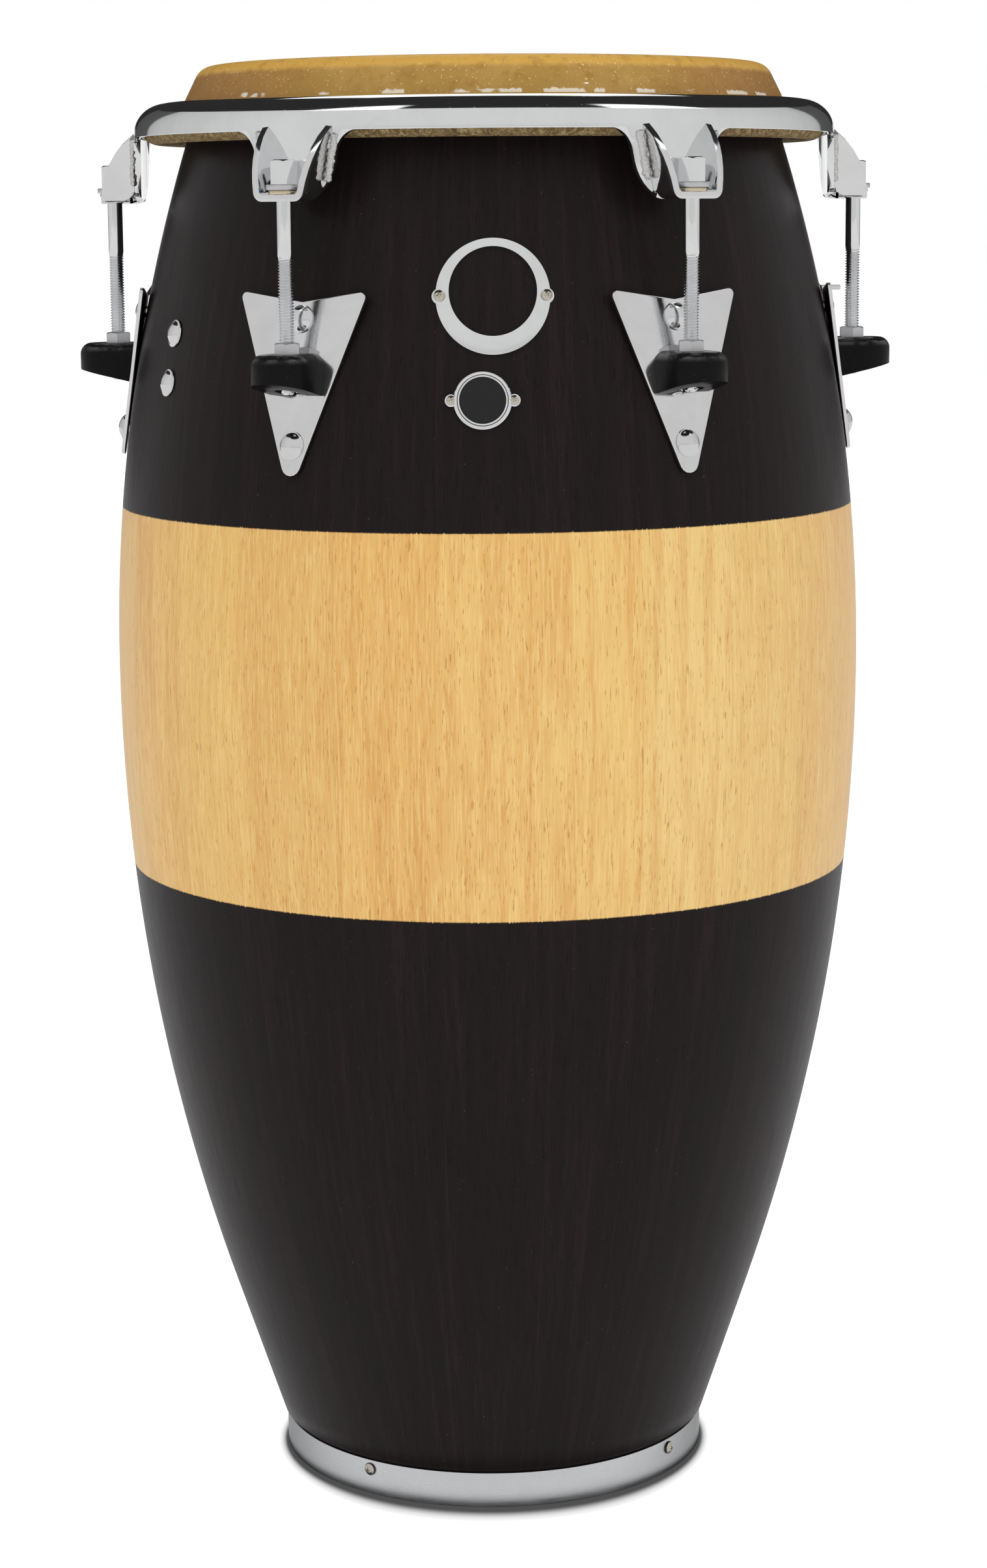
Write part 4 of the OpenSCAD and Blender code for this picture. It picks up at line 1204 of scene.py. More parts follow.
@dataclass
class SidePlates:
    """The V-shaped plates, their carriage bolts and the spare studs."""

    shell: Shell
    touch_z: float = 602.0
    thick: float = 2.4
    half_w: float = 37.2
    rise: float = 46.3
    notch: float = 5.5
    drop: float = 45.4
    corner_r: float = 2.8
    tip_r: float = 5.5
    upper_bolt: float = 32.4
    lower_bolt: float = 30.4
    bolt_d: float = 6.3
    head_d: float = 14.2
    head_h: float = 3.6
    tab_w: float = 9.0
    tab_l: float = 8.0
    tab_lift: float = 0.6

    def on_plate(self, lug: int) -> Matrix:
        """A lug's plate: +X out, Z up along the plate.

        Args:
            lug: Its number.

        Returns:
            The matrix.
        """
        lean = self.shell.lean(self.touch_z)
        seat = Matrix.Translation((self.shell.radius(self.touch_z) + 0.05, 0, self.touch_z))
        return lug_turn(lug) @ seat @ Matrix.Rotation(-lean, 4, "Y")

    def outline(self) -> list:
        """The plate's outline.

        Returns:
            Its (y, z) points.
        """
        tip_c = self.tip_r - self.drop
        height = self.rise - tip_c
        side = math.atan(self.half_w / height) - math.asin(self.tip_r / math.hypot(self.half_w, height))
        corners = [(-self.half_w, self.rise), (0, self.rise - self.notch), (self.half_w, self.rise),
                   (0, tip_c - self.tip_r / math.sin(side))]
        return Bench.rounded(corners, [self.corner_r, 0, self.corner_r, self.tip_r])

    def plate(self, lug: int, with_tab: bool) -> Object:
        """Makes one plate.

        Args:
            lug: Its number.
            with_tab: Whether it has the small tab.

        Returns:
            Its object.
        """
        bm = Bench.panel(self.outline())
        Bench.thicken(bm, Vector((0, self.thick, 0)))
        bmesh.ops.rotate(bm, cent=(0, 0, 0), matrix=Matrix.Rotation(-math.pi / 2, 3, "Z"), verts=bm.verts)
        Bench.soften(bm, 0.7, 3, 50)
        if with_tab:
            lean = self.shell.lean(self.touch_z)
            root = self.rise - self.notch - self.thick
            bend = root + self.thick + self.tab_lift
            out = Vector((math.cos(lean), -math.sin(lean))) * (self.thick + self.tab_l)
            up = Vector((math.sin(lean), math.cos(lean))) * self.thick
            start = Vector((0, bend))
            points = [(0, root), (self.thick, root), (self.thick, bend - self.thick * math.tan(lean)),
                      tuple(start + out), tuple(start + out + up), (0, bend + self.thick / math.cos(lean))]
            tab = Bench.panel(points)
            Bench.thicken(tab, Vector((0, self.tab_w, 0)))
            bmesh.ops.translate(tab, vec=(0, -self.tab_w / 2, 0), verts=tab.verts)
            Bench.soften(tab, 0.6, 3)
            Bench.join(bm, tab)
        bmesh.ops.transform(bm, matrix=self.on_plate(lug), verts=bm.verts)
        node = f"side_plate_{lug}"
        return Bench.piece(bm, f"{node}_dressed", [PLATE], Slot.ZINC, Body.SHELL, [node])

    def carriage_bolt(self, length: float) -> BMesh:
        """A carriage bolt along +X with its underside at x = 0.

        Args:
            length: The shank's length.

        Returns:
            Its mesh.
        """
        r, h = self.head_d / 2, self.head_h
        dome = (r * r + h * h) / (2 * h)
        top = [(x, math.sqrt(dome * dome - x * x) - dome + h) for x in [r * (1 - k / 10) for k in range(10)]]
        top[0] = (r, 0.35)
        profile = [(0, -length), (self.bolt_d / 2 - 0.5, -length), (self.bolt_d / 2, -length + 0.6),
                   (self.bolt_d / 2, 0), (r - 0.3, 0)] + top[:1] + [(r - 0.1, 0.75)] + top[1:] + [(0, h)]
        bm = Bench.lathe(profile, 40)
        bmesh.ops.rotate(bm, cent=(0, 0, 0), matrix=Matrix.Rotation(math.pi / 2, 3, "Y"), verts=bm.verts)
        return bm

    def bolts(self) -> list:
        """Makes the plates' carriage bolts and the spare studs.

        Returns:
            Their objects.
        """
        long_one = self.carriage_bolt(20.0)
        bm = bmesh.new()
        for lug in EACH_LUG:
            for height in (self.upper_bolt, -self.lower_bolt):
                seat = self.on_plate(lug) @ Matrix.Translation((self.thick + 0.05, 0, height))
                Bench.join(bm, long_one, seat @ Matrix.Rotation(lug + height, 4, "X"), keep=True)
        heads = Bench.piece(bm, "carriage_bolt_heads", [PLATE], Slot.ZINC, Body.SHELL, ["carriage_bolts"])
        long_one.free()
        short_one = self.carriage_bolt(18.0)
        bm = bmesh.new()
        for z in (625.0, 600.0):
            Bench.join(bm, short_one, self.shell.on_shell(-150, z) @ Matrix.Translation((0.05, 0, 0)), keep=True)
        short_one.free()
        return [heads, Bench.piece(bm, "spare_stud_heads", [PLATE], Slot.ZINC, Body.SHELL, ["spare_studs"])]

    def build(self) -> list:
        """Makes every plate and bolt. Returns: the objects."""
        return [self.plate(lug, lug == 1) for lug in EACH_LUG] + self.bolts()


@dataclass
class Lugs:
    """The boots, the captive nuts that stand in them, and the blocks under them."""

    plates: SidePlates
    circle_r: float = 198.02
    width: float = 30.0
    end_r: float = 203.52
    top_z: float = 617.5
    low_z: float = 597.0
    tip_z: float = 603.5
    edge_r: float = 6.0
    wall: float = 4.0
    roof: float = 4.5
    floor_t: float = 2.4
    notch_w: float = 13.0
    nut_af: float = 12.0
    nut_top: float = 622.9

    def plan(self, half: float, inner: float) -> list:
        """A bar with a round outer end, seen from above. Args: half, inner. Returns: the (x, y) points."""
        return [(inner, -half)] + Bench.arc((self.end_r, 0), half, -90, 90, 24) + [(inner, half)]

    def cavity(self, slope: float, plate_r: float) -> BMesh:
        """The room for the block, above the boot's sloping floor and open to the plate.

        Args:
            slope: The floor's slope in radians.
            plate_r: The radius where the floor meets the plate.

        Returns:
            The cutting mesh.
        """
        half = self.width / 2 - self.wall
        bm = bmesh.new()
        bm.faces.new([bm.verts.new((x, y, self.top_z - self.roof)) for x, y in self.plan(half, 150.0)])
        Bench.thicken(bm, Vector((0, 0, self.low_z - self.top_z - 12)))
        Bench.trim(bm, (plate_r, 0, self.low_z + self.floor_t), (math.sin(slope), 0, -math.cos(slope)))
        bmesh.ops.recalc_face_normals(bm, faces=bm.faces)
        return bm

    def notch(self) -> BMesh:
        """The round-ended notch in the boot's floor, round the bolt's tip.

        Returns:
            The cutting mesh.
        """
        half = self.notch_w / 2
        outline = [(150.0, -half)] + Bench.arc((self.circle_r, 0), half, -90, 90, 16) + [(150.0, half)]
        bm = bmesh.new()
        bm.faces.new([bm.verts.new((x, y, self.low_z - 3)) for x, y in outline])
        Bench.thicken(bm, Vector((0, 0, self.top_z - self.roof - self.low_z - 1)))
        return bm

    def boot(self, lug: int) -> Object:
        """Makes one boot: a rounded hood with a notched floor.

        Args:
            lug: Its number.

        Returns:
            Its object.
        """
        half, inner = self.width / 2, 168.0
        rings = [(half, self.low_z - 4), (half, self.top_z - self.edge_r)]
        rings += [(half - self.edge_r + self.edge_r * math.cos(math.radians(a)),
                   self.top_z - self.edge_r + self.edge_r * math.sin(math.radians(a))) for a in range(12, 91, 13)]
        bm = bmesh.new()
        rim = [bm.verts.new((x, y, rings[0][1])) for x, y in self.plan(half, inner)]
        edges = [bm.edges.new((a, b)) for a, b in zip(rim, rim[1:] + rim[:1])]
        for reach, z in rings[1:]:
            edges, row = Bench.rows_out(bm, edges)
            for v in row:
                side = Vector((max(v.co.x - self.end_r, 0.0), v.co.y))
                side.length = reach
                v.co = (side.x + min(v.co.x, self.end_r), side.y, z)
        bmesh.ops.contextual_create(bm, geom=edges)
        plate_r = self.plates.shell.radius(self.low_z) + self.plates.thick
        slope = math.atan2(self.tip_z - self.low_z, self.end_r + half - plate_r)
        Bench.trim(bm, (plate_r, 0, self.low_z), (math.sin(slope), 0, -math.cos(slope)))
        geom = bm.verts[:] + bm.edges[:] + bm.faces[:]
        lean = self.plates.shell.lean(self.plates.touch_z)
        seat = self.plates.on_plate(1) @ Vector((self.plates.thick + 0.05, 0, 0))
        cut = bmesh.ops.bisect_plane(bm, geom=geom, dist=1e-4, plane_co=seat,
                                     plane_no=(math.cos(lean), 0, math.sin(lean)), clear_inner=True)
        bmesh.ops.holes_fill(bm, edges=[g for g in cut["geom_cut"] if isinstance(g, BMEdge)], sides=0)
        bmesh.ops.recalc_face_normals(bm, faces=bm.faces)
        bm = Bench.cut(bm, [self.cavity(slope, plate_r), self.notch()])
        bmesh.ops.transform(bm, matrix=lug_turn(lug), verts=bm.verts)
        return Bench.piece(bm, f"lug_boot_{lug}_dressed", [BOOT], Slot.BOOT, Body.SHELL,
                           [f"lug_boot_{lug}"], edge=0.7, segments=3)

    def nuts(self) -> Object:
        """Makes the captive nuts.

        Returns:
            Their object.
        """
        bm = bmesh.new()
        for lug in EACH_LUG:
            nut = Bench.hexagon(self.nut_af, 17.0, 0.5)
            shoulder = Bench.lathe([(0, -2.5), (7.3, -2.5), (7.6, -2.2), (7.6, 0), (0, 0)], 48)
            for piece in (nut, shoulder):
                Bench.join(bm, piece, lug_turn(lug) @ Matrix.Translation((self.circle_r, 0, self.nut_top - 17.0)))
        return Bench.piece(bm, "captive_nuts_dressed", [ZINC], Slot.ZINC, Body.SHELL, ["captive_nuts"],
                           smooth=25)

    def build(self) -> list:
        """Makes the boots and nuts. Returns: the objects."""
        return [self.boot(lug) for lug in EACH_LUG] + [self.nuts()]


# ---- Emblem and badge ----


@dataclass
class Emblems:
    """A plain ring, broader below, and a plain ringed badge on the front of the shell."""

    shell: Shell
    ring_x: float = 3.75
    ring_z: float = 645.0
    ring_r: float = 28.0
    belly: float = 9.0
    band: float = 4.0
    thick: float = 1.5
    ear_x: float = 26.0
    ear_d: float = 5.7
    badge_x: float = -1.6
    badge_z: float = 595.0
    badge_r: float = 14.2
    badge_ear: float = 15.4

    def ring(self) -> Object:
        """Makes the plain ring, bent round the shell.

        Returns:
            Its object.
        """
        hollow = (2 * self.ring_r - self.belly - self.band) / 2
        high = self.belly + hollow - self.ring_r
        bm = Bench.panel(Bench.arc((0, 0), self.ring_r, 0, 357.5, 143), across=[k * 2.0 for k in range(-13, 14)])
        Bench.thicken(bm, Vector((0, -self.thick, 0)))
        hole = Bench.panel(Bench.arc((0, high), hollow, 0, 357.5, 143))
        bmesh.ops.translate(hole, vec=(0, 5, 0), verts=hole.verts)
        Bench.thicken(hole, Vector((0, -12, 0)))
        bm = Bench.cut(bm, [hole])
        for side in (-1, 1):
            ear = Bench.panel(Bench.arc((side * self.ear_x, 0), self.ear_d / 2 + 1, 0, 350, 35))
            Bench.thicken(ear, Vector((0, -self.thick * 0.9, 0)))
            Bench.join(bm, ear)
        Bench.soften(bm, 0.35, 2, 50)
        for v in bm.verts:
            z = v.co.z + self.ring_z
            x = v.co.x + self.ring_x
            deep = self.shell.radius(z) + 0.05 - v.co.y
            v.co = (x, -math.sqrt(deep * deep - x * x), z)
        bmesh.ops.recalc_face_normals(bm, faces=bm.faces)
        return Bench.piece(bm, "ring_emblem", [CHROME], Slot.CHROME, Body.SHELL, ["emblem_plate"])

    def badge_seat(self) -> Matrix:
        """The badge's place, with +X out. Returns: the matrix."""
        turn = math.degrees(math.asin(-self.badge_x / self.shell.radius(self.badge_z)))
        return self.shell.on_shell(-90 - turn, self.badge_z)

    def badge(self) -> Object:
        """Makes the badge: two bright rings round a dark field, and an ear for each screw.

        Returns:
            Its object.
        """
        r = self.badge_r
        outer = [(0, 0), (r - 0.2, 0), (r, 0.25), (r, 1.4), (r - 0.35, 1.8), (r - 1.3, 1.8), (r - 1.6, 1.5)]
        gap = [(r - 1.6, 1.2), (r - 1.95, 1.2)]
        inner = [(r - 1.95, 1.5), (r - 2.2, 1.7), (r - 2.7, 1.7), (r - 3.0, 1.3), (r - 3.1, 1.0), (0, 1.0)]
        bm = Bench.lathe(outer + gap + inner, 96)
        for face in bm.faces:
            middle = face.calc_center_median()
            far = math.hypot(middle.x, middle.y)
            groove = r - 1.96 < far < r - 1.58 and middle.z < 1.45
            face.material_index = 1 if middle.z > 0.5 and (far < r - 3.05 or groove) else 0
        for side in (-1, 1):
            ear = Bench.panel(Bench.arc((0, 0), 3.1, 0, 350, 35))
            Bench.thicken(ear, Vector((0, -0.9, 0)))
            Bench.soften(ear, 0.25, 2, 50)
            turned = Matrix.Rotation(-math.pi / 2, 4, "X")
            Bench.join(bm, ear, Matrix.Translation((0, side * self.badge_ear, 0)) @ turned)
        place = self.badge_seat() @ Matrix.Translation((0.05, 0, 0)) @ Matrix.Rotation(math.pi / 2, 4, "Y")
        bmesh.ops.transform(bm, matrix=place, verts=bm.verts)
        return Bench.piece(bm, "round_badge_dressed", [CHROME, BADGE], Slot.BADGE, Body.SHELL,
                           ["round_badge"])

    def screws(self) -> list:
        """Makes the screws of the ring and the badge.

        Returns:
            Their objects.
        """
        bm = bmesh.new()
        for side in (-1, 1):
            turn = math.degrees(math.asin((self.ring_x + side * self.ear_x) / self.shell.radius(self.ring_z)))
            screw = CrossScrew(5.7, 1.8, 2.6, 8.0, 25 + side * 12).mesh()
            seat = self.shell.on_shell(-90 + turn, self.ring_z)
            Bench.join(bm, screw, seat @ Matrix.Translation((self.thick + 0.2, 0, 0)))
        upper = Bench.piece(bm, "ring_screws", [NICKEL], Slot.BRASS, Body.SHELL, ["emblem_screws"])
        bm = bmesh.new()
        for side in (-1, 1):
            screw = CrossScrew(5.0, 1.7, 2.6, 8.0, 40 + side * 15).mesh()
            Bench.join(bm, screw, self.badge_seat() @ Matrix.Translation((1.0, side * self.badge_ear, 0)))
        lower = Bench.piece(bm, "badge_screws_dressed", [NICKEL], Slot.BRASS, Body.SHELL, ["badge_screws"])
        return [upper, lower]

    def build(self) -> list:
        """Makes the emblem, the badge and their screws. Returns: the objects."""
        return [self.ring(), self.badge(), *self.screws()]


@dataclass
class FootScrews:
    """The foot band's screws, each on a dark washer."""

    shell: Shell
    count: int = 4
    first_turn: float = -35.0
    height: float = 14.0
    head_d: float = 6.2
    head_h: float = 1.8
    washer_r: float = 3.5
    washer_t: float = 0.75
    shank_d: float = 3.5

    def build(self) -> list:
        """Makes the screws and washers.

        Returns:
            Their object, in a list.
        """
        bm = bmesh.new()
        r, hole, thick = self.washer_r, self.shank_d / 2 + 0.05, self.washer_t
        profile = [(r, 0.0), (r, thick - 0.2), (hole, thick), (hole, 0.0)]
        for k in range(self.count):
            spin = Matrix.Rotation(math.radians(self.first_turn + 360 / self.count * k), 4, "Z")
            seat = spin @ Matrix.Translation((self.shell.band_r, 0, self.height))
            washer = Bench.lathe(profile, 32, closed=True)
            Bench.join(bm, Bench.tint(washer, 1), seat @ Matrix.Rotation(math.pi / 2, 4, "Y"))
            screw = CrossScrew(self.head_d, self.head_h, self.shank_d, 9.0, 15 + 27 * k).mesh()
            Bench.join(bm, screw, seat @ Matrix.Translation((thick, 0, 0)))
        return [Bench.piece(bm, "foot_band_screws", [NICKEL, WASHER], Slot.ZINC, Body.SHELL,
                            ["base_screws"])]


# ---- Rim, straps and welds ----


@dataclass
class Rim:
    """The round chrome rim with a tongue at each lug, the welded straps and their weld beads."""

    outer_r: float = 186.52
    thick: float = 3.5
    bend_r: float = 16.5
    bend_z: float = 726.0
    skirt_z: float = 725.2
    inner_r: float = 164.02
    tongue_z: float = 691.0
    tongue_half: float = 23.4
    fillet: float = 13.0
    corner: float = 20.0
    corner_rise: float = 1.3
    toe: float = 2.6
    toe_half: float = 7.0
    toe_fade: float = 3.5
    strap_t: float = 3.4
    strap_foot: float = 13.5
    strap_top: float = 20.0
    strap_corner: float = 5.0
    strap_h: float = 36.0
    strap_reach: float = 204.0
    strap_arc: float = 44.0
    weld_off: float = 2.5
    weld_from: float = 10.5
    weld_to: float = 33.0
    steps: int = 144

    def hem(self) -> list:
        """The lower edge of the rim, unrolled from the back.

        Returns:
            Its (x, z) points.
        """
        base_r = self.outer_r
        low = self.tongue_z + self.corner * self.corner_rise
        middle_z = self.skirt_z + 0.4 - self.fillet
        wide = self.tongue_half + self.fillet
        start = math.degrees(math.asin((self.skirt_z - middle_z) / self.fillet))
        side = Bench.arc((wide, middle_z), self.fillet, 180 - start, 180, 8)
        corner = Bench.arc((self.tongue_half - self.corner, 0), self.corner, 0, -90, 10)
        side += [(y, low + self.corner_rise * z) for y, z in corner]
        points = []
        for lug in range(LUGS):
            centre = -FULL_TURN / 2 + FULL_TURN * (lug + 0.5) / LUGS
            tongue = [(-y, z) for y, z in side] + [(y, z) for y, z in reversed(side)]
            points += [((centre + math.asin(y / base_r)) * base_r, z) for y, z in tongue]
        half = math.pi * base_r
        return [(half, self.skirt_z), (half, self.bend_z), (-half, self.bend_z), (-half, self.skirt_z)] + points

    def rolled(self, p: Vector) -> Vector:
        """Rolls the unrolled skirt round the drum and turns the tongues' toes out.

        Args:
            p: A place on the flat skirt.

        Returns:
            The place.
        """
        base = self.outer_r - self.thick
        turn = p.x / self.outer_r + math.pi / 6
        z, r = p.z, base
        bend = self.tongue_z + self.thick
        off = abs(turn - round(turn * 3 / math.pi) * math.pi / 3) * self.outer_r
        kept = min(1.0, max(0.0, 1 - (off - self.toe_half) / self.toe_fade))
        if z < bend:
            share = (bend - z) / self.thick
            arc = min(share * 1.25, 1.0) * math.pi / 2
            r = base + kept * self.thick * (1 - math.cos(arc))
            z += kept * (bend - self.thick * math.sin(arc) - z)
            if share > 0.8:
                r += kept * (share - 0.8) / 0.2 * self.toe
        return Vector((r * math.cos(turn), r * math.sin(turn), z))

    def ring(self) -> Object:
        """Makes the rim.

        Returns:
            Its object.
        """
        step = FULL_TURN * self.outer_r / self.steps
        across = [(k - self.steps / 2) * step for k in range(1, self.steps)]
        toe = [self.tongue_z + self.thick * (1 - 0.8 * k / 6) for k in range(7)]
        bm = Bench.panel(self.hem(), across=across, up=[712.0, 700.0] + toe)
        reshape(bm, self.rolled)
        inner = self.bend_r - self.thick
        middle = (self.outer_r - self.bend_r, self.bend_z)
        shoulder = Bench.arc(middle, inner, 0, 90, 12) + [(self.inner_r, self.bend_z + inner)]
        Bench.join(bm, Bench.spun(shoulder, self.steps))
        bmesh.ops.remove_doubles(bm, verts=bm.verts, dist=0.02)
        bmesh.ops.recalc_face_normals(bm, faces=bm.faces)
        Bench.upright(bm, 2)
        return Bench.piece(bm, "rim_dressed", [CHROME], Slot.CHROME, Body.RIM_SET, ["rim"],
                           wall=self.thick, edge=1.1, segments=3, outward=True, smooth=30)

    def strap(self, lug: int) -> Object:
        """Makes one U strap, its back on the tongue and its front edge an arc.

        Args:
            lug: Its number.

        Returns:
            Its object.
        """
        top = self.tongue_z + self.strap_h
        corners = [(-self.strap_top, top), (-self.strap_foot, self.tongue_z), (self.strap_foot, self.tongue_z),
                   (self.strap_top, top)]
        path = Bench.rounded(corners, [0, self.strap_corner, self.strap_corner, 0], 6)
        rows = []
        for (y0, z0), (y1, z1) in zip(path, path[1:]):
            parts = max(1, round(math.hypot(y1 - y0, z1 - z0) / 5.0))
            rows += [(y0 + (y1 - y0) * k / parts, z0 + (z1 - z0) * k / parts) for k in range(parts)]
        rows.append(path[-1])
        bm = bmesh.new()
        verts = [bm.verts.new((0.0, y, z)) for y, z in rows]
        edges = [bm.edges.new(pair) for pair in zip(verts, verts[1:])]
        for k in range(1, 5):
            edges, row = Bench.rows_out(bm, edges)
            for v in row:
                v.co.x = k / 4
        for v in bm.verts:
            rise = v.co.z - self.tongue_z
            back = math.sqrt((self.outer_r + 0.1) ** 2 - v.co.y ** 2)
            if rise < self.thick + 0.3:
                back = math.sqrt((self.outer_r + self.toe + 0.1) ** 2 - v.co.y ** 2)
            front = self.strap_reach - self.strap_arc + math.sqrt(self.strap_arc ** 2 - rise ** 2)
            v.co.x = back + (front - back) * v.co.x
        bmesh.ops.recalc_face_normals(bm, faces=bm.faces)
        probe = min(bm.faces, key=lambda f: f.calc_center_median().z)
        if probe.normal.z > 0:
            bmesh.ops.reverse_faces(bm, faces=bm.faces)
        bmesh.ops.transform(bm, matrix=lug_turn(lug), verts=bm.verts)
        return Bench.piece(bm, f"lug_strap_{lug}_dressed", [STRAP], Slot.CHROME, Body.RIM_SET,
                           [f"lug_strap_{lug}"], wall=self.strap_t, edge=0.9, segments=3, smooth=30)

    def welds(self) -> Object:
        """Makes the weld beads: rows of small blobs run together.

        Returns:
            Their object.
        """
        dice = random.Random(5)
        bm = bmesh.new()
        rise = (self.strap_top - self.strap_foot) / self.strap_h
        for lug in EACH_LUG:
            for side in (-1, 1):
                z = self.tongue_z + self.weld_from
                while z < self.tongue_z + self.weld_to:
                    y = self.strap_foot + rise * (z - self.tongue_z) + self.weld_off + dice.uniform(-0.4, 0.4)
                    x = math.sqrt(self.outer_r ** 2 - y * y) + 0.5 + dice.uniform(-0.2, 0.2)
                    made = bmesh.ops.create_icosphere(bm, subdivisions=2, radius=dice.uniform(1.9, 2.5))["verts"]
                    flat = Matrix.Diagonal((0.8, 1.0, 0.75, 1.0))
                    place = lug_turn(lug) @ Matrix.Translation((x, side * y, z)) @ flat
                    bmesh.ops.transform(bm, matrix=place, verts=made)
                    z += dice.uniform(1.5, 2.1)
        bmesh.ops.scale(bm, vec=(MM, MM, MM), verts=bm.verts)
        obj = Bench.scrap(bm)
        remesh = obj.modifiers.new("skin", "REMESH")
        remesh.mode, remesh.voxel_size = "VOXEL", 0.0005
        Bench.settle(obj)
        out = Bench.reclaim(obj)
        bmesh.ops.scale(out, vec=(1000.0, 1000.0, 1000.0), verts=out.verts)
        bmesh.ops.smooth_vert(out, verts=out.verts, factor=0.4, use_axis_x=True, use_axis_y=True, use_axis_z=True)
        out.normal_update()
        for v in out.verts:
            v.co += v.normal * (noise.noise(v.co * 0.9) * 0.35)
        return Bench.piece(out, "weld_beads_dressed", [WELD], Slot.CHROME, Body.RIM_SET, ["weld_beads"],
                           smooth=180)

    def build(self) -> list:
        """Makes the rim, its straps and the welds. Returns: the objects."""
        return [self.ring()] + [self.strap(lug) for lug in EACH_LUG] + [self.welds()]


# ---- Tuning bolts ----


@dataclass
class TuningBolts:
    """The hexagon bolts with their threads, and the two washers under each head."""

    circle_r: float = 198.02
    shank_r: float = 3.95
    thread_r: float = 3.88
    root_r: float = 3.15
    pitch: float = 1.411
    tip_z: float = 597.6
    thread_top: float = 663.6
    head_z: float = 699.25
    head_af: float = 12.7
    head_h: float = 11.9
    hole_r: float = 4.4

    def thread(self) -> BMesh:
        """Makes the thread: a zigzag profile spun a whole turn while it climbs one pitch.

        Returns:
            Its mesh.
        """
        turns = int((self.thread_top - self.tip_z - 1.0) / self.pitch)
        points = []
        for k in range(turns):
            z = self.tip_z + 0.8 + k * self.pitch
            points += [(self.root_r, z), (self.root_r, z + 0.18)]
            points += [(self.thread_r, z + 0.62), (self.thread_r, z + 0.79)]
        points.append((self.root_r, self.tip_z + 0.8 + turns * self.pitch))
        bm = Bench.spun(points, 24, climb=self.pitch)
        bmesh.ops.remove_doubles(bm, verts=bm.verts, dist=1e-3)
        bmesh.ops.recalc_face_normals(bm, faces=bm.faces)
        Bench.upright(bm, 0)
        return bm

    def bolt(self, lug: int) -> Object:
        """Makes one tuning bolt.

        Args:
            lug: Its number.

        Returns:
            Its object.
        """
        bm = bmesh.new()
        head = Bench.hexagon(self.head_af, self.head_h, 0.6)
        Bench.join(bm, head, Matrix.Translation((0, 0, self.head_z)))
        r, z, root = self.shank_r, self.thread_top, self.root_r
        runout = [(0, z - 2.2), (root, z - 2.0), (root + 0.35, z - 0.6), (r - 0.1, z + 1.2), (r, z + 2.4)]
        neck = [(r, self.head_z - 0.6), (r + 0.5, self.head_z + 0.1), (0, self.head_z + 0.1)]
        Bench.join(bm, Bench.lathe(runout + neck, 32))
        core = [(0, self.tip_z), (root - 0.7, self.tip_z), (root + 0.05, self.tip_z + 0.9), (root + 0.05, z - 1.9),
                (0, z - 1.9)]
        Bench.join(bm, Bench.lathe(core, 24))
        Bench.join(bm, Bench.tint(self.thread(), 1))
        place = lug_turn(lug) @ Matrix.Translation((self.circle_r, 0, 0))
        bmesh.ops.transform(bm, matrix=place, verts=bm.verts)
        return Bench.piece(bm, f"tuning_bolt_{lug}_dressed", [CHROME, THREAD], Slot.CHROME, Body(f"bolt_{lug}"),
                           [f"tuning_bolt_{lug}"], smooth=28)

    def washers(self) -> list:
        """Makes the brass and the steel washers.

        Returns:
            Their objects.
        """
        out = []
        for name, node, finish, slot, r, low, high in (
                ("brass_washers_dressed", "brass_washers", BRASS, Slot.BRASS, 7.75, 694.45, 696.45),
                ("steel_washers_dressed", "steel_washers", ZINC, Slot.ZINC, 9.0, 696.5, 699.2)):
            bm = bmesh.new()
            rounded = [(r - 0.35, low), (r, low + 0.35), (r, high - 0.45), (r - 0.5, high)]
            profile = [(self.hole_r, low), *rounded, (self.hole_r, high)]
            for lug in EACH_LUG:
                ring = Bench.lathe(profile, 48, closed=True)
                Bench.join(bm, ring, lug_turn(lug) @ Matrix.Translation((self.circle_r, 0, 0)))
            out.append(Bench.piece(bm, name, [finish], slot, Body.RIM_SET, [node], smooth=50))
        return out

    def build(self) -> list:
        """Makes the bolts and washers. Returns: the objects."""
        return [self.bolt(lug) for lug in EACH_LUG] + self.washers()


# ---- Head ----


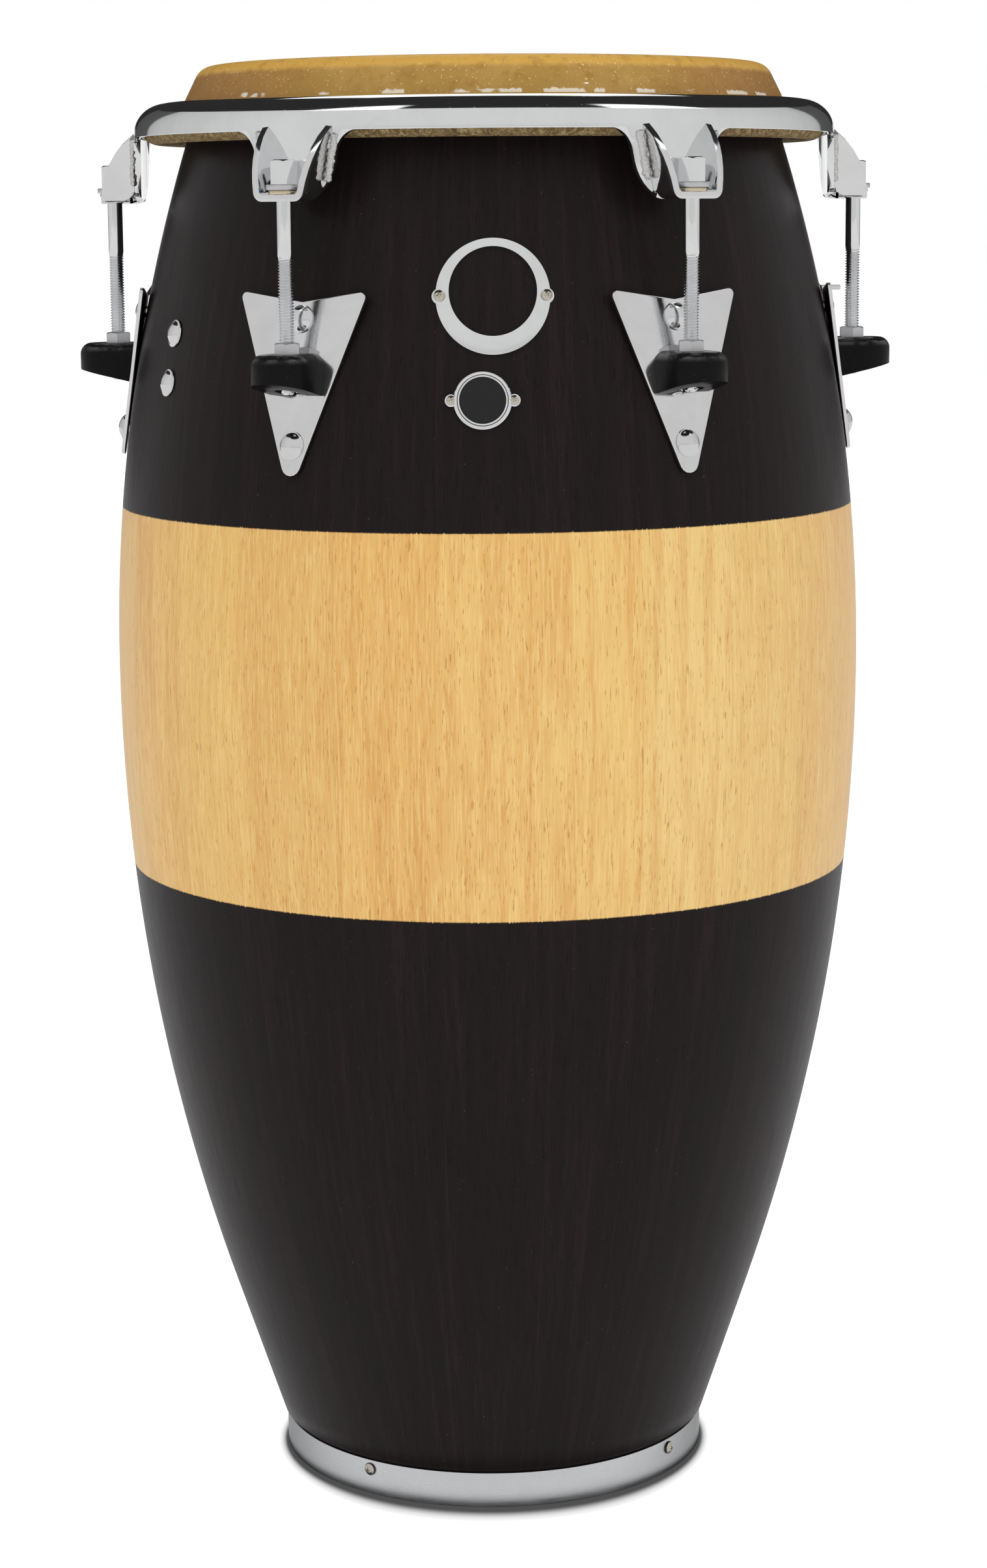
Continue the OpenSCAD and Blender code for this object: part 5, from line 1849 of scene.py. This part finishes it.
@dataclass
class Head:
    """The rawhide head: flat skin, crown, collar and the roll round the flesh hoop."""

    top_z: float = 762.0
    thick: float = 1.6
    crown: tuple = (143.96, 752.0)
    crown_r: float = 10.0
    roll: tuple = (173.52, 729.5)
    roll_r: float = 8.0
    lean: float = 26.5
    steps: int = 180
    scuff_sizes: tuple = (
        ("scuff_left", 0.004), ("scuff_middle", 0.004), ("scuff_right", 0.006), ("scratch", 0.002),
    )

    def skin(self) -> Object:
        """Makes the head, with no scuffs yet.

        Returns:
            Its object.
        """
        inside = self.roll_r - self.thick
        flat = [(r, self.top_z) for r in (0, 20, 40, 60, 80, 100, 115, 130)]
        crown = Bench.arc(self.crown, self.crown_r, 90, self.lean, 12)
        start = self.lean + 180 - math.degrees(math.acos(inside / self.roll_r))
        roll = Bench.arc(self.roll, self.roll_r, start, self.lean - 180, 40)
        back = Bench.arc(self.crown, self.crown_r - self.thick, self.lean, 90, 12)
        low = [(r, self.top_z - self.thick) for r in (130, 100, 60, 0)]
        bm = Bench.lathe(flat + crown + roll + back + low, self.steps)
        for face in bm.faces:
            middle = face.calc_center_median()
            off = math.hypot(math.hypot(middle.x, middle.y) - self.roll[0], middle.z - self.roll[1])
            face.material_index = 1 if off < self.roll_r + 0.4 and middle.z < 736 else 0
        # The first slot takes the hide once its scuffs have their places.
        return Bench.piece(bm, "hide_head", [ROLL, ROLL], Slot.HIDE, Body.RIM_SET, ["drum_head"])

    def build(self, view: "PhotoView") -> tuple:
        """Makes the head, scuffed where the photograph is.

        Args:
            view: The photograph's view.

        Returns:
            The object and the places.
        """
        head = self.skin()
        marks = {name: view.surface_at(name, head) for name, _ in self.scuff_sizes}
        scuffs = tuple((tuple(marks[name]), size) for name, size in self.scuff_sizes)
        head.data.materials[0] = replace(HIDE, scuffs=scuffs).make()
        return head, marks


# ---- Camera, image points and light ----


@dataclass
class PhotoView:
    """The photograph's camera and the places in its frame that the scene is set by."""

    width: float = 987.16
    height: float = 1568.0
    lens: float = 77.0
    sensor: float = 36.0
    shift_x: float = 0.0
    shift_y: float = 0.0
    back: float = 1.8263
    rise: float = 0.6856
    tilt: float = 0.1691
    yaw: float = 0.001359
    roll: float = -0.0077
    points: dict = field(default_factory=lambda: {
        "left": (82.0, None), "right": (889.5, None), "top": (None, 52.7), "bottom": (None, 1506.8),
        "upper_colour_edge": (None, 534.6), "lower_colour_edge": (None, 922.7),
        "badge": (482.5, 399.8), "emblem_screw_left": (439.5, 294.3), "emblem_screw_right": (546.3, 293.0),
        "boot_left": (284.9, 373.8), "boot_right": (693.5, 372.5),
        "foot_screw_left": (370.9, 1467.7), "foot_screw_right": (665.5, 1446.3),
        "scuff_left": (244.2, 95.0), "scuff_middle": (324.0, 94.0), "scuff_right": (459.7, 93.5),
        "scratch": (586.0, 83.0),
    })

    def axes(self) -> Matrix:
        """The camera's turn: X right, Y up, Z back.

        Returns:
            The 3 by 3 matrix.
        """
        ahead = Vector((0, math.cos(self.tilt), -math.sin(self.tilt)))
        upward = Vector((0, math.sin(self.tilt), math.cos(self.tilt)))
        side = Vector((1, 0, 0))
        right = math.cos(self.roll) * side + math.sin(self.roll) * upward
        ahead = (ahead + self.yaw * right).normalized()
        right = (right - right.dot(ahead) * ahead).normalized()
        up = right.cross(ahead)
        return Matrix((right, up, -ahead)).transposed()

    def place(self) -> Vector:
        """Where the camera stands. Returns: the point."""
        return Vector((0.0, -self.back, self.rise))

    def build(self) -> Object:
        """Makes the scene's camera.

        Returns:
            Its object.
        """
        data = bpy.data.cameras.new("photo_camera")
        data.sensor_fit, data.sensor_width, data.lens = "AUTO", self.sensor, self.lens
        data.shift_x, data.shift_y = self.shift_x, self.shift_y
        data.clip_start, data.clip_end = 0.05, 60.0
        camera = bpy.data.objects.new("photo_camera", data)
        camera.matrix_world = Matrix.Translation(self.place()) @ self.axes().to_4x4()
        bpy.context.scene.collection.objects.link(camera)
        bpy.context.scene.camera = camera
        return camera

    def shows_at(self, p: Vector) -> tuple:
        """Where a point shows in the frame.

        Args:
            p: The point.

        Returns:
            (x, y).
        """
        local = self.axes().transposed() @ (p - self.place())
        reach = max(self.width, self.height)
        scale = reach * self.lens / self.sensor / -local.z
        return (self.width / 2 - self.shift_x * reach + local.x * scale,
                self.height / 2 + self.shift_y * reach - local.y * scale)

    def surface_at(self, name: str, carrier: Object) -> Vector:
        """The place on a carrier that an image point lies on.

        Args:
            name: The image point's name.
            carrier: The finished object that carries the thing.

        Returns:
            The place where the point's ray meets the carrier, or the nearest place to the ray.
        """
        x, y = self.points[name]
        reach = max(self.width, self.height)
        ray = Vector((x - self.width / 2 + self.shift_x * reach, self.height / 2 - y + self.shift_y * reach,
                      -reach * self.lens / self.sensor))
        ray = (self.axes() @ ray).normalized()
        mesh = carrier.data
        tree = BVHTree.FromPolygons([v.co for v in mesh.vertices], [p.vertices for p in mesh.polygons])
        hit = tree.ray_cast(self.place(), ray)[0]
        if hit is None:
            start = self.place()
            hit = min((v.co for v in mesh.vertices), key=lambda c: (c - start - ray * (c - start).dot(ray)).length)
        return Vector(hit)

    def middle_of(self, vertices: Iterable[Vector]) -> tuple:
        """The middle of where vertices show.

        Args:
            vertices: Their places.

        Returns:
            (x, y).
        """
        seen = [self.shows_at(v) for v in vertices]
        xs, ys = [p[0] for p in seen], [p[1] for p in seen]
        return ((min(xs) + max(xs)) / 2, (min(ys) + max(ys)) / 2)

    def report(self, pieces: dict, shell: Shell, marks: dict) -> None:
        """Args:
            pieces: The finished objects by name.
            shell: The shell, for its colour edges.
            marks: Places that were found by ray, by point name.
        """
        seen = [self.shows_at(v.co) for o in pieces.values() for v in o.data.vertices]
        xs, ys = [p[0] for p in seen], [p[1] for p in seen]

        def near(name: str, keep: Callable[[Vector], bool]) -> tuple:
            """The middle of a piece's vertices that pass a test. Args: name, keep. Returns: (x, y)."""
            return self.middle_of(v.co for v in pieces[name].data.vertices if keep(v.co))

        def front_at(height: float) -> tuple:
            """Where the shell's front shows at a height in metres. Args: height. Returns: (x, y)."""
            return self.shows_at(Vector((0, -shell.radius(height / MM) * MM, height)))

        shows = {
            "left": (min(xs), None), "right": (max(xs), None), "top": (None, min(ys)), "bottom": (None, max(ys)),
            "upper_colour_edge": front_at(WOOD.band_high), "lower_colour_edge": front_at(WOOD.band_low),
            "badge": near("round_badge_dressed", lambda c: True),
            "emblem_screw_left": near("ring_screws", lambda c: c.x < 0 and c.y < -0.178),
            "emblem_screw_right": near("ring_screws", lambda c: c.x > 0 and c.y < -0.178),
            "boot_left": near("lug_boot_5_dressed", lambda c: True),
            "boot_right": near("lug_boot_6_dressed", lambda c: True),
            "foot_screw_left": near("foot_band_screws", lambda c: c.x < 0 and c.y < -0.05),
            "foot_screw_right": near("foot_band_screws", lambda c: c.x > 0 and c.y < -0.05),
        }
        shows.update({name: self.shows_at(place) for name, place in marks.items()})


@dataclass(frozen=True)
class FloorPaperWithPaintedShadow(Finish):
    """White paper with a painted contact shadow: a soft dark line painted round the drum's foot."""

    foot_r: float = 0.117
    shade_forward: float = 0.0045
    narrow_front: float = 0.373
    wide_sides: float = 1.35
    # The painted contact shadow's two ramps: its near, dark part and its far, faint part.
    near_painted_shadow: tuple = (0.0003, 0.0043, 0.066, 0.62)
    far_painted_shadow: tuple = (0.0030, 0.0085, 0.0, 0.38)
    # How much dimmer the paper is painted where mirrors see it.
    painted_mirror_dimming: float = 0.60

    def dress(self, r: Recipe, shader: Node) -> None:
        """Paints a contact shadow into the paper close to the foot, and paints the paper dimmer where mirrors see
        it.

        Args:
            r: The recipe.
            shader: Its shader.
        """
        spot = r.vector("ADD", r.scaled(r.object_place(), (1.0, 1.0, 0.0)), (0.0, self.shade_forward, 0.0))
        far = r.vector("LENGTH", spot.outputs[0]).outputs["Value"]
        ahead = r.sum("DIVIDE", r.part(spot.outputs[0], 1), far)
        width = r.ease(r.sum("MULTIPLY", ahead, -1.0), 0.0, 1.0, self.wide_sides, self.narrow_front)
        off = r.sum("MULTIPLY", r.sum("SUBTRACT", far, self.foot_r), width)
        # Painted contact shadow: the paper's colour darkens close to the foot.
        light = r.sum("ADD", r.ease(off, *self.near_painted_shadow), r.ease(off, *self.far_painted_shadow))
        # Painted reflection tone: the paper's colour is dimmer in mirrors than it is to the eye.
        mirror = r.add("ShaderNodeLightPath").outputs["Is Glossy Ray"]
        light = r.sum("MULTIPLY", light, r.ease(mirror, 0.0, 1.0, 1.0, self.painted_mirror_dimming))
        r.feed(shader.inputs["Base Color"], r.blend(1.0, self.colour, light, "MULTIPLY"))


@dataclass
class Studio:
    """A pale floor and a white tent round the drum, closed by a dark roof that the chrome mirrors.

    A place round the drum runs from 0 at the camera's side to 1 behind the drum. Heights are in degrees.
    """

    around: tuple = (
        (0.0, 0.70), (0.38, 0.70), (0.50, 0.66), (0.58, 0.62), (0.67, 0.57), (0.74, 0.52), (0.782, 0.44),
        (0.795, 0.09), (0.905, 0.07), (0.920, 0.85), (1.0, 1.0),
    )
    roof_front: float = 65.0
    roof_back: float = 5.0
    roof_shut: tuple = (0.86, 0.90, 90.0, 3.0)
    roof_blur: float = 0.8
    roof: float = 0.025
    low_front: float = -0.08
    low_to: float = 14.0
    softbox: float = 1.35
    box_left: float = 0.35
    box_right: float = 0.45
    box_half: float = 0.11
    box_bow: float = 16.0
    strip: float = 1.2
    strip_low: tuple = (29.0, 31.0)
    strip_high: tuple = (53.0, 55.0, 1.0, 0.0)
    strip_from: tuple = (0.895, 0.915)
    floor_tone: float = 0.92
    floor_sun: float = 3.0
    top_sun: float = 1.8

    def tent(self, r: Recipe, turn: object, climb: object, over: object) -> Socket:
        """The wall's brightness up to the roof's edge.

        Args:
            r: The world's recipe.
            turn: The place round the drum.
            climb: The height.
            over: The height above the roof's edge.

        Returns:
            The brightness's socket.
        """
        wall = r.ramp(turn, [(place, (value,) * 3) for place, value in self.around])
        in_front = r.ease(turn, 0.15, 0.35, 1.0, 0.0)
        low = r.sum("MULTIPLY", r.ease(climb, 0, self.low_to, self.low_front, 0.0), in_front)
        lit = r.ease(over, -self.roof_blur, self.roof_blur, 1.0, 0.0)
        return r.sum("MULTIPLY", r.sum("ADD", wall, low), lit)

    def boxes(self, r: Recipe, across: object, turn: object, over: object) -> Socket:
        """Two lens-shaped soft boxes along the roof's edge, one on each side.

        Args:
            r: The world's recipe.
            across: The direction's part to the right.
            turn: The place round the drum.
            over: The height above the roof's edge.

        Returns:
            The brightness's socket.
        """
        middle = r.ease(across, -0.05, 0.05, self.box_left, self.box_right)
        off = r.sum("DIVIDE", r.sum("SUBTRACT", turn, middle), self.box_half)
        bow = r.sum("MULTIPLY_ADD", r.sum("MULTIPLY", off, off), -self.box_bow, self.box_bow)
        under = r.ease(r.sum("SUBTRACT", over, bow), -5.0, 1.5, 1.0, 0.0)
        box = r.sum("MULTIPLY", r.ease(over, -3.5, -2.5), under)
        return r.sum("MULTIPLY", r.sum("MULTIPLY", box, r.ease(bow, 0.0, 1.0)), self.softbox)

    def high_strip(self, r: Recipe, turn: object, climb: object) -> Socket:
        """A white strip high up behind the drum.

        Args:
            r: The recipe.
            turn: The turn, as a socket.
            climb: The height angle, as a socket.

        Returns:
            The brightness's socket.
        """
        rise = r.sum("ADD", climb, r.sum("MULTIPLY_ADD", turn, 90.0, -90.0))
        high = r.sum("MULTIPLY", r.ease(rise, *self.strip_low), r.ease(climb, *self.strip_high))
        return r.sum("MULTIPLY", r.sum("MULTIPLY", high, r.ease(turn, *self.strip_from)), self.strip)

    def world(self) -> None:
        """Makes the surroundings: a bright wall up to the roof's edge, dark above, plain white behind the drum."""
        world = bpy.data.worlds.new("studio")
        bpy.context.scene.world = world
        world.use_nodes = True
        world.node_tree.nodes.clear()
        r = Recipe(world.node_tree)
        way = r.add("ShaderNodeSeparateXYZ", {0: r.add("ShaderNodeTexCoord").outputs["Generated"]})
        turn = r.sum("ABSOLUTE", r.sum("ARCTAN2", way.outputs[0], r.sum("MULTIPLY", way.outputs[1], -1.0)))
        turn = r.sum("DIVIDE", turn, math.pi)
        climb = r.sum("MULTIPLY", r.sum("ARCSINE", way.outputs[2]), math.degrees(1.0))
        drop = self.roof_back - self.roof_front
        edge = r.sum("MULTIPLY_ADD", r.sum("MULTIPLY", turn, turn), drop, self.roof_front)
        edge = r.sum("MINIMUM", edge, r.ease(turn, *self.roof_shut))
        over = r.sum("SUBTRACT", climb, edge)
        lit = r.sum("MAXIMUM", self.tent(r, turn, climb, over), self.boxes(r, way.outputs[0], turn, over))
        value = r.sum("MAXIMUM", lit, r.sum("MAXIMUM", self.high_strip(r, turn, climb), self.roof))
        eye = r.add("ShaderNodeLightPath").outputs["Is Camera Ray"]
        background = r.add("ShaderNodeBackground", {0: r.sum("MAXIMUM", value, eye)})
        r.add("ShaderNodeOutputWorld", {0: background.outputs[0]})

    def floor(self) -> Object:
        """Makes the floor.

        Returns:
            Its object.
        """
        bm = bmesh.new()
        bmesh.ops.create_grid(bm, x_segments=1, y_segments=1, size=12.0)
        mesh = bpy.data.meshes.new("studio_floor")
        bm.to_mesh(mesh)
        bm.free()
        floor = bpy.data.objects.new("studio_floor", mesh)
        bpy.context.scene.collection.objects.link(floor)
        paper = FloorPaperWithPaintedShadow("floor_paper_painted_shadow", colour=(self.floor_tone,) * 3, rough=0.9, shine=0.0)
        mesh.materials.append(paper.make())
        return floor

    def sun(self, name: str, strength: float, spread: float, aim: tuple) -> Object:
        """Makes a broad soft light that no mirror shows.

        Args:
            name: Its name.
            strength: Its strength.
            spread: Its angle in degrees.
            aim: The direction that it stands in.

        Returns:
            The light's object.
        """
        data = bpy.data.lights.new(name, "SUN")
        data.energy, data.angle = strength, math.radians(spread)
        lamp = bpy.data.objects.new(name, data)
        lamp.rotation_euler = Vector(aim).to_track_quat("Z", "Y").to_euler()
        lamp.visible_glossy = False
        bpy.context.scene.collection.objects.link(lamp)
        return lamp

    def build(self) -> None:
        """Makes the floor, the surroundings and the lights."""
        self.world()
        floor = self.floor()
        soft = self.sun("soft_top", self.top_sun, 70, (0.1, -0.30, 1.0))
        glow = self.sun("floor_fill", self.floor_sun, 10, (0, 0, 1))
        only = bpy.data.collections.new("floor_only")
        only.objects.link(floor)
        glow.light_linking.receiver_collection = only
        glow.light_linking.blocker_collection = only
        rest = bpy.data.collections.new("all_but_floor")
        rest.objects.link(floor)
        rest.collection_objects[0].light_linking.link_state = "EXCLUDE"
        soft.light_linking.receiver_collection = rest
        scene = bpy.context.scene
        scene.view_settings.view_transform = "Standard"
        scene.view_settings.look = "None"


def dress_frame_nodes() -> None:
    """Gives finishes to the CAD nodes that stay in view."""
    for name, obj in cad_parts.items():
        if name.startswith(("lug_block", "inner", "flesh_hoop")):
            obj.data.materials.clear()
            obj.data.materials.append(ZINC.make())


def main() -> None:
    """Builds the drum's classes in order, dresses them, and sets the camera and the light."""
    logging.basicConfig(level=logging.INFO, format="%(message)s")
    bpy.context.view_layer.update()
    view = PhotoView()
    view.build()
    shell = Shell()
    plates = SidePlates(shell)
    made = []
    for part in (shell, plates, Lugs(plates), Emblems(shell), FootScrews(shell), Rim(), TuningBolts()):
        made += part.build()
    head, marks = Head().build(view)
    dress_frame_nodes()
    pieces = {obj.name: obj for obj in made + [head]}
    Studio().build()
    view.report(pieces, shell, marks)
    log.info("%d pieces", len(pieces))


if __name__ == "__main__":
    main()
